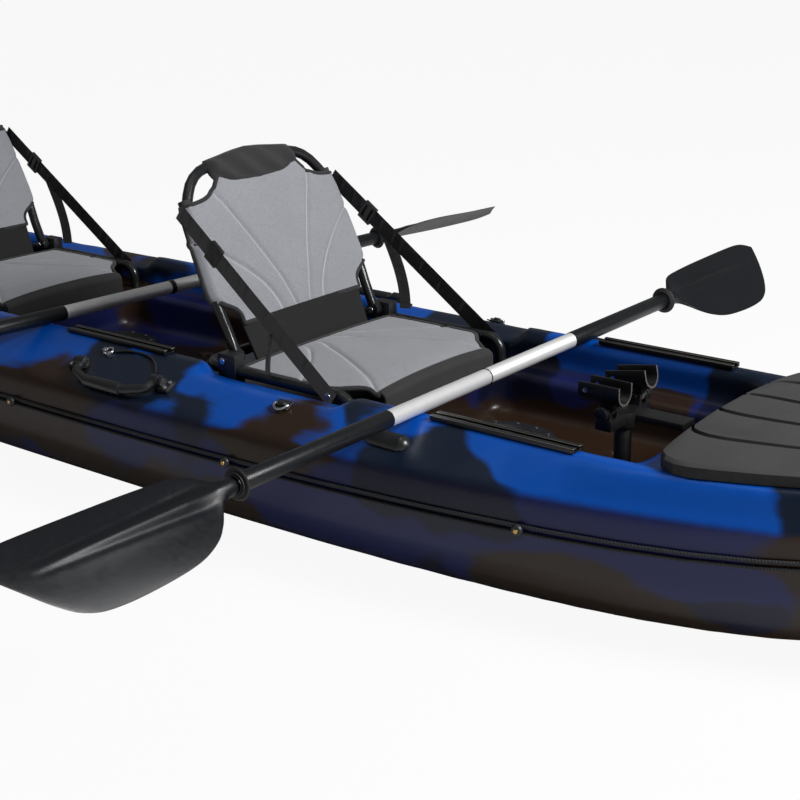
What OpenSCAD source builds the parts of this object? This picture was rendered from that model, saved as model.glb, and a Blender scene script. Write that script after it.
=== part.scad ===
// Sit-on-top tandem kayak with two folding seats, hatches, deck fittings and two paddles.
// Millimetres. +X points to the bow, +Y to port, +Z up. The origin is on the keel, at mid length.

/* [Hull] */
// Length over all
hull_l = 3780; // [3600:10:4000]
// Greatest beam
hull_beam = 864; // [840:2:900]
// Where the greatest beam lies, from mid length
widest_x = -250; // [-400:10:0]
// Height of the gunwale ridges above the keel
ridge_h = 310; // [300:1:330]
// Distance between the two gunwale ridges
ridge_gauge = 560; // [550:2:570]
// Width of the flat on top of a ridge
ridge_flat = 30; // [26:1:34]
// Height of the edge between shoulder and side
chine_h = 250; // [235:1:262]
// Rise of the keel at the ends
keel_rise = 190; // [150:5:210]
// Rise of the sheer at the ends
sheer_rise = 60; // [40:1:80]
// Width of the stem
stem_w = 28; // [20:1:40]
// Wall of the moulding
wall = 6; // [5:0.5:8]

/* [Cockpit] */
// Front end of the cockpit tray
tray_front = 1108; // [1095:1:1115]
// Rear end of the cockpit tray
tray_rear = -1095; // [-1120:1:-1080]
// Width of the cockpit tray
tray_w = 528; // [524:1:530]
// Height of the seat decks above the keel
deck_h = 235; // [225:1:245]
// Height of the foot well floors above the keel
floor_h = 150; // [130:1:160]
// Width of a foot well
well_w = 440; // [400:2:460]
// Length of a foot well
well_l = 590; // [560:2:600]
// Front end of the front foot well
well_front = 1096; // [1090:1:1100]
// Bore of a scupper
scupper_d = 30; // [25:1:35]
// Spacing of the scuppers across the boat
scupper_gauge = 250; // [220:2:300]

/* [Tank well] */
// Length of the stern tank well
tank_l = 380; // [320:5:390]
// Width of the stern tank well
tank_w = 270; // [240:2:280]
// Front end of the stern tank well
tank_front = -1190; // [-1230:1:-1180]
// Height of its floor above the keel
tank_floor = 210; // [190:1:225]

/* [Bow hatch] */
// Gap between the cockpit tray and the lid
lid_gap = 46; // [40:1:58]
// Distance of the lid's front edge from the bow
lid_stem = 232; // [222:2:282]
// Greatest width of the lid
lid_w = 610; // [560:2:620]
// Margin between lid and hull side
lid_margin = 34; // [30:1:50]
// Depth of the lid's skirt
lid_skirt = 24; // [20:1:28]
// Height of the crown over the skirt
lid_crown = 14; // [8:1:20]
// Height of the raised plank
plank_step = 6; // [4:0.5:8]
// Thickness of the lid
lid_t = 5; // [4:0.5:6]
// Diameter of the lid's hinge pin
lid_pin_d = 8; // [6:0.5:10]

/* [Deck hatches] */
// Place of the front hatch
front_hatch_x = 665; // [655:1:680]
// Distance between the two hatches
hatch_pitch = 1122; // [1115:1:1130]
// Opening of a hatch
hatch_bore = 172; // [160:1:180]
// Width of the flange ring
hatch_flange = 36; // [30:1:42]
// Height of the flange ring
hatch_h = 22; // [16:1:28]
// Screws in a ring
hatch_screws = 14; // [8:1:16]

/* [Seats] */
// Hinge line of the front seat
seat_x = 190; // [180:1:200]
// Distance between the two seats
seat_pitch = 1122; // [1110:1:1130]
// Diameter of the frame tubes
tube_d = 22; // [20:1:24]
// Spacing of the base rails
rail_gauge = 483; // [478:1:485]
// Height of the rails above the seat deck
rail_h = 55; // [50:1:60]
// Length of a rail from the hinge line to its front leg
rail_l = 310; // [300:1:320]
// Height of the back's pivots above the seat deck
pivot_h = 75; // [73:1:80]
// Spacing of the back's legs at the pivots
leg_gauge = 432; // [428:1:436]
// Height of the back along its lean
back_l = 418; // [403:1:433]
// Lean of the back
lean = 24; // [18:0.2:28]
// Length of the base sling
base_l = 317; // [300:1:325]
// Diameter of the bolts
bolt_d = 8; // [6:0.5:10]
// Width of the side straps
strap_w = 36; // [30:1:40]
// Thickness of the side straps
strap_t = 2; // [1.5:0.1:2.5]

/* [Gear tracks] */
// Length of a track
track_l = 296; // [250:1:300]
// Width of a track
track_w = 30; // [26:1:34]
// Height of a track
track_h = 9; // [8:0.5:12]
// Width of the slot's mouth
slot_w = 10; // [8:0.5:12]
// Centre of the front pair
track_front_x = 872; // [865:1:880]
// Centre of the rear pair
track_rear_x = -90; // [-92:1:-84]

/* [Handles and fittings] */
// Length of a handle between its pivots
handle_l = 214; // [200:1:230]
// Diameter of a handle's grip
grip_d = 18; // [16:1:22]
// Reach of a handle from its pivot line
handle_reach = 46; // [40:1:50]
// Place of the side handles
handle_x = 10; // [0:1:20]
// Place of the rings
ring_x = 419; // [410:1:430]
// Diameter of a ring at the middle of its wire
ring_d = 30; // [26:1:36]
// Diameter of a ring's wire
ring_wire = 5; // [4:0.5:6]
// Place of the paddle rests
rest_x = 675; // [665:1:685]

/* [Side trim] */
// Diameter of a trim cord
trim_d = 6; // [5:0.5:8]
// Spacing of the two cords
trim_gap = 12; // [10:0.5:16]
// Diameter of a trim button
button_d = 22; // [18:1:26]
// Spacing of the buttons along the side
button_pitch = 612; // [600:1:625]
// Place of the middle button
button_x = 352; // [340:1:360]

/* [Rod holder] */
// Place of the post
post_x = 940; // [930:1:950]
// Diameter of the post
post_d = 32; // [28:1:36]
// Height of the swivel seat above the foot well floor
post_h = 110; // [102:1:120]
// Spacing of the two cradles
cradle_gauge = 104; // [98:1:112]
// Length of a cradle
cradle_l = 84; // [76:1:96]
// Width of a cradle
cradle_w = 46; // [42:1:50]
// Depth of a cradle
cradle_h = 38; // [35:1:44]
// Wall of a cradle
cradle_t = 4; // [3:0.5:5]
// Tilt of the port cradle at rest
cradle_tilt = 10; // [6:1:20]

/* [Paddles] */
// Length of a paddle
paddle_l = 2280; // [2200:10:2350]
// Diameter of the shaft
shaft_d = 30; // [28:0.5:32]
// Thickness of the sleeves over the shaft
sleeve_t = 1; // [0.5:0.1:1.5]
// Length of the bright middle on each side
bright_l = 290; // [260:2:320]
// Length of a blade
blade_l = 470; // [440:2:500]
// Thickness of a blade
blade_t = 5; // [4:0.5:7]
// Width of a blade
blade_w = 166; // [150:1:185]
// Place of the front paddle
paddle_front_x = 692; // [685:1:698]
// Place of the rear paddle
paddle_rear_x = -283; // [-290:1:-278]
// Turn of the rear paddle from straight across
paddle_rear_turn = 6; // [4:0.2:6.5]
// Diameter of a drip ring
drip_d = 56; // [48:1:64]

/* [Clearances] */
// Gap between pieces that lie on each other
seat_gap = 0.3; // [0.2:0.05:0.5]
// Running clearance of a pin, all round
run_gap = 0.05; // [0.03:0.01:0.1]
// Gap beside a moving piece
side_gap = 1; // [0.6:0.1:1.5]

/* [Hidden] */
$fn = 48;

hull_black = "#1b1d20";
grey_mesh = "#a3a6aa";
brass = "#b08d4a";
bright_alloy = "#d9dbdd";

// Shared geometry
function unit(v) = v / norm(v);
function mix(a, b, t) = a + (b - a) * t;
function clamp01(t) = max(0, min(1, t));
function above(x, from, to) = clamp01((x - from) / (to - from));

// A closed solid through rings of equal count, each ring running the same way round.
function middle(ring) = [for (i = [0:len(ring) - 1]) 1] * ring / len(ring);
module skin(rings) {
    n = len(rings[0]);
    m = len(rings);
    polyhedron(
        points = concat([for (r = rings) each r], [middle(rings[0]), middle(rings[m - 1])]),
        faces = [
            for (i = [0:n - 1]) [m * n, i, (i + 1) % n],
            for (i = [0:n - 1]) [m * n + 1, (m - 1) * n + (i + 1) % n, (m - 1) * n + i],
            for (j = [0:m - 2], i = [0:n - 1]) each [
                [j * n + i, (j + 1) * n + i, j * n + (i + 1) % n],
                [(j + 1) * n + i, (j + 1) * n + (i + 1) % n, j * n + (i + 1) % n]]]);
}

// Turns local Z to a direction.
module point_along(v) {
    z = unit(v);
    x = unit(cross(abs(z.z) < 0.9 ? [0, 0, 1] : [0, 1, 0], z));
    y = cross(z, x);
    multmatrix([[x.x, y.x, z.x, 0], [x.y, y.y, z.y, 0], [x.z, y.z, z.z, 0], [0, 0, 0, 1]]) children();
}

// A bent tube: straight runs joined by true bends, one bend radius for each inner corner.
module bent_tube(path, r, bends) {
    n = len(path);
    way = [for (i = [0:n - 2]) unit(path[i + 1] - path[i])];
    turn = [for (i = [0:n - 1]) i == 0 || i == n - 1 ? 0 : acos(way[i - 1] * way[i])];
    cut = [for (i = [0:n - 1]) i == 0 || i == n - 1 ? 0 : bends[i - 1] * tan(turn[i] / 2)];
    for (i = [0:n - 2]) {
        start = path[i] + way[i] * cut[i];
        finish = path[i + 1] - way[i] * cut[i + 1];
        translate(start) point_along(way[i]) cylinder(h = norm(finish - start), r = r);
    }
    for (i = [1:n - 2]) {
        side = unit(way[i] - way[i - 1] * (way[i] * way[i - 1]));
        x = -side;
        y = way[i - 1];
        z = cross(x, y);
        c = path[i] - y * cut[i] + side * bends[i - 1];
        multmatrix([[x.x, y.x, z.x, c.x], [x.y, y.y, z.y, c.y], [x.z, y.z, z.z, c.z], [0, 0, 0, 1]])
            rotate_extrude(angle = turn[i]) translate([bends[i - 1], 0]) circle(r);
    }
}

// A path with its inner corners rounded, one bend radius for each.
bend_steps = 4;
function rounded(path, bends) = [
    path[0],
    for (i = [1:len(path) - 2])
        let(in = unit(path[i] - path[i - 1]), out = unit(path[i + 1] - path[i]),
            cut = bends[i - 1] * tan(acos(in * out) / 2), a = path[i] - in * cut, b = path[i] + out * cut)
        for (k = [0:bend_steps])
            let(t = k / bend_steps) mix(mix(a, path[i], t), mix(path[i], b, t), t),
    path[len(path) - 1]];

// A round bar swept along points, its rings kept square to a fixed direction.
module cord(path, r, sides, up = [0, 0, 1]) {
    n = len(path);
    skin([for (i = [0:n - 1])
        let(t = unit(path[min(i + 1, n - 1)] - path[max(i - 1, 0)]), s = unit(cross(up, t)), u = cross(t, s))
        [for (k = [0:sides - 1]) path[i] + r * (cos(k * 360 / sides) * s + sin(k * 360 / sides) * u)]]);
}

// Hull form
half_l = hull_l / 2;
station_count = 36;
hollow_count = 20;
bow_full = 3.1;
stern_full = 2.8;
end_full = 0.85;
flat_keel = 800;
flat_sheer = 1150;
function half_beam(x) =
    let(u = x > widest_x ? (x - widest_x) / (half_l - widest_x) : (widest_x - x) / (half_l + widest_x))
    max(stem_w / 2, hull_beam / 2 * pow(1 - pow(min(u, 1), x > widest_x ? bow_full : stern_full), end_full));
function keel_z(x) = keel_rise * pow(above(abs(x), flat_keel, half_l), 3.5);
function ridge_z(x) = ridge_h + sheer_rise * pow(above(abs(x), flat_sheer, half_l), 2);
function chine_z(x) = ridge_z(x) - (ridge_h - chine_h);
function ridge_y(x) = min(ridge_gauge / 2, 0.84 * half_beam(x));
function end_scale(x) = min(1, half_beam(x) / 200);
deck_drop = 12;
shoulder_in = 0.965;
function deck_z(x) = ridge_z(x) - deck_drop;
trim_share = 0.76;
function trim_z(x) = mix(keel_z(x), chine_z(x), trim_share);
shoulder_lift = 6;
ridge_foot = 20;
ridge_lip = 3;
function shoulder_top(x) = [ridge_y(x) + ridge_foot * end_scale(x), ridge_z(x) - ridge_lip];
function shoulder_low(x) = [shoulder_in * half_beam(x), chine_z(x) + shoulder_lift];
function shoulder_z(x, y) = let(a = shoulder_low(x), b = shoulder_top(x)) mix(a.y, b.y,
    (a.x - y) / (a.x - b.x));
function shoulder_slope(x) = let(a = shoulder_low(x), b = shoulder_top(x)) atan2(b.y - a.y, a.x - b.x);

function stations(count) =
    [for (i = [0:count - 1]) let(u = 2 * i / (count - 1) - 1) half_l * (1.15 * u - 0.15 * pow(u, 3))];
station = stations(station_count);

// Half section from the keel out to the side and in over the deck, as [y, z].
function half_section(x) =
    let(b = half_beam(x), k = keel_z(x), c = chine_z(x), h = c - k, t = ridge_z(x), r = ridge_y(x),
        e = end_scale(x),
        f = ridge_flat / 2 * e)
    [[0, k], [0.17 * b, k], [0.25 * b, k + 0.07 * h], [0.37 * b, k + 0.07 * h], [0.45 * b, k + 0.01 * h],
     [0.62 * b, k + 0.03 * h], [0.79 * b, k + 0.115 * h], [0.91 * b, k + 0.27 * h], [0.97 * b, k + 0.48 * h],
     [b, k + trim_share * h], [0.992 * b, c - 3], shoulder_low(x), shoulder_top(x),
     [r + f, t], [r - f, t], [r - f - 7 * e, t - 5], [r - f - 21 * e, t - deck_drop], [0, deck_z(x)]];

// Half section of the hollow inside the wall.
function half_hollow(x) =
    let(b = half_beam(x), k = keel_z(x) + wall, c = chine_z(x), h = c - keel_z(x), t = ridge_z(x) - wall,
        r = ridge_y(x), e = end_scale(x))
    [[0, k], [0.16 * b, k + 1], [0.24 * b, k + 0.07 * h + 1], [0.38 * b, k + 0.07 * h + 1], [0.6 * b,
        k + 0.03 * h + 3],
     [0.765 * b, k + 0.115 * h + 3], [0.91 * b - wall, k + 0.27 * h], [0.97 * b - wall, k + 0.48 * h],
     [b - wall, k + 0.72 * h], [shoulder_in * b - wall - 2, c - 4], [r + 14 * e, t - 10],
     [r - 36 * e, t - deck_drop - 5], [0, t - deck_drop - 2]];

function ring_at(x, half) =
    concat([for (p = half) [x, p.x, p.y]], [for (i = [len(half) - 2:-1:1]) [x, -half[i].x, half[i].y]]);

// A tub that tapers down to a rounded floor, or grown all round by a wall.
tub_fillet = 24;
tub_draft = 14;
tub_corner = 60;
module tub_slab(x0, x1, w, z, corner) translate([x0, -w / 2, z]) linear_extrude(1)
    translate([corner, corner]) offset(r = corner, $fn = 24) square([x1 - x0 - 2 * corner, w - 2 * corner]);
module tub(x0, x1, w, z0, z1, grow = 0, draft = tub_draft, fillet = tub_fillet) hull()
    for (lift = [[0, draft + 0.7 * fillet], [0.3 * fillet, draft + 0.2 * fillet], [z1 - z0, 0]])
        tub_slab(x0 + lift.y - grow, x1 - lift.y + grow, w - 2 * (lift.y - grow), z0 - grow + lift.x,
            tub_corner - lift.y + grow);

cut_top = 120;
tray_draft = 4;
tray_fillet = 6;
module cockpit_tray(grow = 0)
    tub(tray_rear, tray_front, tray_w, deck_h, ridge_h + cut_top, grow, tray_draft, tray_fillet);
module foot_well(front, grow = 0)
    tub(front - well_l, front, well_w, floor_h, deck_h + cut_top / 2, grow);
module tank_well(grow = 0)
    tub(tank_front - tank_l, tank_front, tank_w, tank_floor, ridge_h + cut_top, grow);
// A scallop in each ridge beside a seat leaves room for the rails; its ends ramp up to the ridge.
scallop_from = -14;
scallop_to = 326;
scallop_ramp = 34;
scallop_deep = 29;
scallop_out = 42;
function scallop_ring(x, lift, grow) =
    let(r = ridge_gauge / 2, z = ridge_h - scallop_deep + lift - grow, top = ridge_h + 2 * scallop_deep)
    [[x, r - scallop_out - grow, z], [x, r - ridge_flat / 2, z + 1], [x, r + scallop_out + grow,
        z + scallop_deep / 2],
     [x, r + scallop_out + grow, top + lift], [x, r - scallop_out - grow, top + lift]];
module scallops(grow = 0) for (x = [seat_x, seat_x - seat_pitch]) both_sides()
    skin([scallop_ring(x + scallop_from - scallop_ramp - grow, scallop_deep + 4, grow),
          scallop_ring(x + scallop_from - grow, 0, grow),
          scallop_ring(x + scallop_to + grow, 0, grow),
          scallop_ring(x + scallop_to + scallop_ramp + grow, scallop_deep + 4, grow)]);
hatch_sites = [front_hatch_x, front_hatch_x - hatch_pitch];
well_fronts = [well_front, well_front - hatch_pitch];
scupper_sites = [for (f = well_fronts, x = [f - 66, f - 236], s = [-1, 1]) [x, s * scupper_gauge / 2]];
scupper_wall = 7;

// Bow hatch outline, following the side of the hull
lid_rear = tray_front + lid_gap;
lid_front = half_l - lid_stem;
lid_l = lid_front - lid_rear;
opening_in = 74;
opening_w = 380;
function lid_half(x) = min(lid_w / 2, half_beam(x) - lid_margin);
lid_corner = 72;
lid_stations = [0, 0.012, 0.04, 0.085, 0.14, 0.22, 0.35, 0.5, 0.65, 0.78, 0.86, 0.92, 0.96, 0.99, 1];
function lid_x(s) = lid_rear + lid_l * s;
function lid_round(s) = let(d = min(s, 1 - s) * lid_l)
    d > lid_corner ? 0 : lid_corner - sqrt(pow(lid_corner, 2) - pow(lid_corner - d, 2));
function lid_y(s, inset) = max(20, lid_half(lid_x(s)) - lid_round(s) * 0.9 - inset);
function lid_base(x) = ridge_z(x) + 2 * seat_gap;
module hull_shell() color("#1a3f86") difference() {
    skin([for (x = station) ring_at(x, half_section(x))]);
    cockpit_tray();
    for (f = well_fronts) foot_well(f);
    tank_well();
    scallops();
    difference() {
        skin([for (x = stations(hollow_count)) if (abs(x) < half_l - 110) ring_at(x, half_hollow(x))]);
        cockpit_tray(wall);
        for (f = well_fronts) foot_well(f, wall);
        tank_well(wall);
        scallops(wall);
        for (p = scupper_sites) translate([p.x, p.y, -1]) cylinder(h = floor_h,
            d = scupper_d + 2 * scupper_wall, $fn = 20);
    }
    for (p = scupper_sites) translate([p.x, p.y, -1]) cylinder(h = floor_h + 2, d = scupper_d, $fn = 20);
    for (x = hatch_sites) translate([x, 0, floor_h - 2 * wall]) cylinder(h = 4 * wall, d = hatch_bore + 4);
    translate([0, 0, ridge_h - 45]) linear_extrude(90) polygon(hatch_outline(0));
}

// Bow hatch
rim_t = 14;
rim_h = 24;
function opening_half(x, grow) = min(opening_w / 2, lid_half(x) - opening_in + 10) + grow;
function hatch_outline(grow) =
    let(x0 = lid_rear + opening_in - grow, x1 = lid_front - opening_in + grow)
    concat([for (i = [0:8]) let(x = mix(x0, x1, i / 8)) [x, -opening_half(x, grow)]],
           [for (i = [8:-1:0]) let(x = mix(x0, x1, i / 8)) [x, opening_half(x, grow)]]);
function rim_ring(x) =
    let(w = opening_half(x, rim_t), z = deck_z(x) + 2 * seat_gap)
    [[x, w, z], [x, w, z + rim_h - 5], [x, w - 5, z + rim_h], [x, 5 - w, z + rim_h], [x, -w, z + rim_h - 5],
        [x, -w, z]];
module bow_hatch_rim() color("#24262a") difference() {
    skin([for (i = [0:8]) rim_ring(mix(lid_rear + opening_in - rim_t, lid_front - opening_in + rim_t,
        i / 8))]);
    translate([0, 0, ridge_h - 60]) linear_extrude(150) polygon(hatch_outline(0));
}

// Four grooves part the lid's top into five planks.
groove_u = [0.6, 0.2, -0.2, -0.6];
groove_slope = 0.026;
groove_floor = 0.014;
function plank(u, c) = c * (1 - u * u);
function groove(g, c) = [[g + groove_slope, plank(g, c)], [g + groove_floor, plank(g, c) - plank_step],
    [g - groove_floor, plank(g, c) - plank_step], [g - groove_slope, plank(g, c)]];
lid_line = concat([[0.85, plank(0.85, lid_crown)]], [for (g = groove_u) each groove(g, lid_crown)], [[-0.85,
    plank(0.85, lid_crown)]]);
function lid_ring(s, t) =
    let(x = mix(lid_rear + t, lid_front - t, s), w = lid_y(s, t), z = lid_base(x) - (t > 0 ? 3 : 0),
        top = lid_base(x) + lid_skirt - t)
    concat([[x, w, z], [x, w, top - 6], [x, w - 7, top]], [for (p = lid_line) [x, w * p.x,
        top + (t > 0 ? plank(p.x, lid_crown) - plank_step : p.y)]],
           [[x, 7 - w, top], [x, -w, top - 6], [x, -w, z]]);
lid_pin_x = lid_front + 12;
lid_pin_z = ridge_z(lid_front) + 11;
knuckle_d = lid_pin_d + 10;
knuckle_w = 22;
knuckle_y = 32;
module across(y, x, z, h, d) translate([x, y, z]) rotate([-90, 0, 0]) cylinder(h = h, d = d);
module bow_hatch_lid() color("#3a3d42") difference() {
    union() {
        difference() {
            skin([for (s = lid_stations) lid_ring(s, 0)]);
            skin([for (s = lid_stations) lid_ring(s, lid_t)]);
        }
        for (y = [knuckle_y, -knuckle_y - knuckle_w]) {
            across(y, lid_pin_x, lid_pin_z, knuckle_w, knuckle_d);
            translate([lid_front - 3, y, lid_pin_z - 6]) cube([lid_pin_x - lid_front + 3, knuckle_w, 12]);
        }
    }
    across(-100, lid_pin_x, lid_pin_z, 200, lid_pin_d + 2 * run_gap);
}
hinge_l = 2 * (knuckle_y - side_gap);
hinge_plate = 36;
hinge_foot = deck_z(lid_pin_x + hinge_plate) + seat_gap;
module bow_hatch_hinge() color(hull_black) difference() {
    union() {
        across(-hinge_l / 2, lid_pin_x, lid_pin_z, hinge_l, knuckle_d);
        translate([lid_pin_x - knuckle_d / 2, -hinge_l / 2, hinge_foot])
            cube([knuckle_d, hinge_l, lid_pin_z - hinge_foot]);
        translate([lid_pin_x - knuckle_d / 2, -hinge_l / 2, hinge_foot])
            cube([hinge_plate + knuckle_d / 2, hinge_l, 5]);
    }
    across(-100, lid_pin_x, lid_pin_z, 200, lid_pin_d);
}
module bow_hatch_pin() color(bright_alloy) {
    across(-knuckle_y - knuckle_w - 4, lid_pin_x, lid_pin_z, 2 * (knuckle_y + knuckle_w + 4), lid_pin_d);
    for (y = [knuckle_y + knuckle_w + 1, -knuckle_y - knuckle_w - 5]) across(y, lid_pin_x, lid_pin_z, 4,
        lid_pin_d + 4);
}

// Round deck hatches
hatch_r = hatch_bore / 2;
flange_r = hatch_r + hatch_flange;
collar_t = 1.5;
lid_lip = 7;
module hatch_ring(x) color("#2a2c2f") translate([x, 0, floor_h]) rotate_extrude($fn = 72)
    polygon([[hatch_r, -8], [hatch_r + collar_t, -8], [hatch_r + collar_t, seat_gap], [flange_r, seat_gap],
        [flange_r, 5], [flange_r - 10, hatch_h], [hatch_r, hatch_h]]);
module hatch_lid(x) color("#232528") translate([x, 0, floor_h + hatch_h]) {
    rotate_extrude($fn = 72) polygon([[0, -9], [hatch_r - 0.5, -9], [hatch_r - 0.5, seat_gap],
        [hatch_r + lid_lip, seat_gap], [hatch_r + lid_lip, 3], [hatch_r, 6], [hatch_r - 14, 6],
            [hatch_r - 20, 1], [0, 1]]);
    translate([-0.7 * hatch_r, -9, 0]) cube([1.4 * hatch_r, 18, 12]);
}
module front_hatch_ring() hatch_ring(hatch_sites[0]);
module rear_hatch_ring() hatch_ring(hatch_sites[1]);
module front_hatch_lid() hatch_lid(hatch_sites[0]);
module rear_hatch_lid() hatch_lid(hatch_sites[1]);
screw_d = 8;
screw_h = 3;
module hatch_screws_set() color(bright_alloy)
    for (x = hatch_sites, i = [0:hatch_screws - 1]) translate([x, 0, floor_h + hatch_h])
        rotate(i * 360 / hatch_screws)
        translate([hatch_r + lid_lip + screw_d / 2 + 3, 0, 0]) cylinder(h = screw_h, d = screw_d, $fn = 24);

// Seats, each placed on its deck
tube_r = tube_d / 2;
rail_y = rail_gauge / 2;
leg_y = leg_gauge / 2;
pivot_s = (pivot_h - rail_h) / cos(lean);
cross_x = -75;
corner_bend = 40;
seat_sites = [seat_x, seat_x - seat_pitch];
module at_seat(i) translate([seat_sites[i], 0, deck_h]) children();
module back_plane() translate([0, 0, rail_h]) rotate([0, -lean, 0]) children();
module both_sides() { children(); mirror([0, 1, 0]) children(); }
strap_out = 1.8;
strap_y = rail_y + tube_r + strap_out + strap_t / 2;
strap_foot_x = 266;
corner_s = back_l - 85;
peak_s = back_l - 39;
strap_s = corner_s - 5;
strap_top = [-strap_s * sin(lean), strap_y, rail_h + strap_s * cos(lean)];
strap_foot = [strap_foot_x, strap_y, rail_h];

module base_frame(i) color("#2b2d30") at_seat(i) difference() {
    bent_tube([[rail_l, rail_y, seat_gap], [rail_l, rail_y, rail_h], [cross_x, rail_y, rail_h],
        [cross_x, -rail_y, rail_h], [rail_l, -rail_y, rail_h], [rail_l, -rail_y, seat_gap]],
        tube_r, [30, corner_bend, corner_bend, 30]);
    for (s = [-1, 1]) translate([strap_foot_x, s * rail_y, rail_h]) rotate([90, 0, 0])
        cylinder(h = 2 * tube_d, d = bolt_d, center = true);
}

// The back's arch, and half its width at a height along the lean
arch = [[leg_y, pivot_s], [leg_y, 82], [222, 165], [214, back_l - 96], [168, back_l - 22], [0, back_l]];
arch_bends = [120, 200, 110, 100, 260, 100, 110, 200, 120];
frame_sides = 12;
arch_path = rounded(concat([for (p = arch) [0, p.x, p.y]], [for (k = [4:-1:0]) [0, -arch[k].x, arch[k].y]]),
    arch_bends);
function arch_y(s) = lookup(s, [for (p = arch_path) if (p.y > 1) [p.z, p.y]]);
module back_frame(i) color("#1d1f22") at_seat(i) back_plane() difference() {
    union() {
        cord(arch_path, tube_r, frame_sides, [1, 0, 0]);
        for (s = [-1, 1]) {
            translate([0, s * leg_y, pivot_s]) rotate([90, 0, 0]) cylinder(h = tube_d - 6, d = tube_d + 8,
                center = true);
            translate([0, s * (strap_in - strap_t / 2 - 2 * seat_gap), strap_s]) rotate([s * 90, 0, 0])
                cylinder(h = strap_in - strap_t / 2 - arch_y(strap_s), d = 10);
        }
    }
    for (s = [-1, 1]) translate([0, s * leg_y, pivot_s]) rotate([90, 0, 0])
        cylinder(h = 2 * tube_d, d = bolt_d + 2 * run_gap, center = true);
}

// Slings: rings across the seat with a crowned face, sewn channels and a thin flat reverse
sling_t = 8;
sling_gap = 0.5;
channel = 2.5;
seam_u = [-1, -0.93, -0.78, -0.62, -0.5, -0.38, -0.2, -0.06, 0.06, 0.2, 0.38, 0.5, 0.62, 0.78, 0.93, 1];
function is_seam(u) = abs(abs(u) - 0.2) < 0.01 || abs(abs(u) - 0.62) < 0.01;
// Half width of the back sling along the lean: lower band, corner cut-outs, panel, neck and head pad
back_edge = [[26, 150], [48, 186], [64, 200], [80, 192], [100, 184], [122, 200], [142, 212], [200, 226],
    [260, 226],
    [corner_s, 212], [corner_s + 7, 172], [corner_s + 17, 146], [corner_s + 31, 126], [peak_s, 116],
        [peak_s + 9, 92],
    [peak_s + 14, 64], [peak_s + 18, 34]];
back_crown = 14;
function back_fan(s) = mix(0.3, 1, above(s, 60, corner_s));
function back_ring(s) =
    let(w = min(lookup(s, back_edge), arch_y(s) - 1.03 * tube_r - sling_gap),
        swell = back_crown * (s > corner_s ? 0.7 : 1) * min(1, above(s, 15, 70) + 0.3))
    concat([for (u = seam_u) let(y = w * u * (abs(u) > 0.9 ? 1 : back_fan(s)))
                [sling_t / 2 + swell * (1 - pow(abs(y / w),
                    2.2)) - (is_seam(u) && s > 70 && s < corner_s ? channel : 0), y, s]],
           [for (u = [1, 0.5, 0, -0.5, -1]) [-sling_t / 2, w * u, s]]);
module back_sling(i) color(grey_mesh) at_seat(i) back_plane() skin([for (p = back_edge) back_ring(p.x)]);

base_x = 22;
base_edge = [[0, 226], [14, 229.8], [70, 229.8], [150, 229.8], [225, 229.8], [250, 218], [270, 190], [288,
    178], [304, 176], [base_l, 178]];
base_crown = 9;
base_drop = 42;
function base_ring(x) =
    let(w = min(lookup(x, base_edge), rail_y - tube_r - sling_gap), front = above(x, base_l - 60, base_l),
        top = rail_h + 4 - 8 * front * front, low = rail_h - 6 - (base_drop - 6) * front)
    concat([for (u = [-1, -0.5, 0, 0.5, 1]) [base_x + x, w * u, low]],
           [for (k = seam_u) let(u = -k)
                [base_x + x, w * u, top + base_crown * (1 - pow(abs(u), 2.4)) * min(1, 0.4 + x / 60)
                    - (is_seam(u) && x > 20 && front < 0.6 ? channel : 0)]]);
module base_sling(i) color(grey_mesh) at_seat(i) skin([for (p = base_edge) base_ring(p.x)]);

// Side straps lean in from the rail to the arch; the lower eye is held by the strap bolt.
strap_in = arch_y(strap_s - 50) + tube_r + 2 * seat_gap + strap_t / 2;
strap_angle = atan2(strap_top.z - strap_foot.z, strap_top.x - strap_foot.x);
strap_reach = norm([strap_top.z - strap_foot.z, strap_top.x - strap_foot.x]);
strap_splay = atan((strap_y - strap_in) / strap_reach);
strap_play = 0.6;
module along_strap(side) translate([strap_foot.x, side * strap_y, strap_foot.z]) rotate([0, -strap_angle, 0])
    rotate(-side * strap_splay) children();
module seat_straps(i) color("#17181a") at_seat(i) for (s = [-1, 1]) along_strap(s) difference() {
    translate([-strap_w / 2, -strap_t / 2, -strap_w / 2]) cube([strap_reach + strap_w, strap_t, strap_w]);
    rotate([90, 0, 0]) cylinder(h = 3 * strap_t, d = bolt_d + strap_play, center = true);
}
buckle_l = 34;
buckle_t = 8;
buckle_at = 0.76;
buckle_rim = 4;
buckle_slot = 6;
module seat_buckles(i) color("#101112") at_seat(i) for (s = [-1, 1]) along_strap(s)
    translate([strap_reach * buckle_at, 0, 0]) difference() {
        translate([-buckle_l / 2, -buckle_t / 2, -strap_w / 2 - buckle_rim]) cube([buckle_l, buckle_t,
            strap_w + 2 * buckle_rim]);
        cube([2 * buckle_l, strap_t + 2 * seat_gap, strap_w + 2 * seat_gap], center = true);
        for (s = [-1, 1]) translate([s * buckle_l / 4, 0, 0]) cube([buckle_slot, 2 * buckle_t,
            strap_w - buckle_slot], center = true);
    }
bracket_l = 46;
bracket_in = leg_y + tube_r + side_gap;
bracket_out = rail_y + tube_r + 3;
module seat_brackets() color("#1d1f22") for (i = [0, 1]) at_seat(i) both_sides() difference() {
    translate([-bracket_l / 2, bracket_in, seat_gap]) cube([bracket_l, bracket_out - bracket_in,
        pivot_h + 14 - seat_gap]);
    translate([0, rail_y, rail_h]) rotate([0, 90, 0]) cylinder(h = 2 * bracket_l, d = tube_d, center = true);
    translate([-(pivot_h - rail_h) * tan(lean), rail_y, pivot_h]) rotate([90, 0, 0])
        cylinder(h = 4 * tube_d, d = bolt_d, center = true);
}
bolt_head_d = 14;
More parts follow.
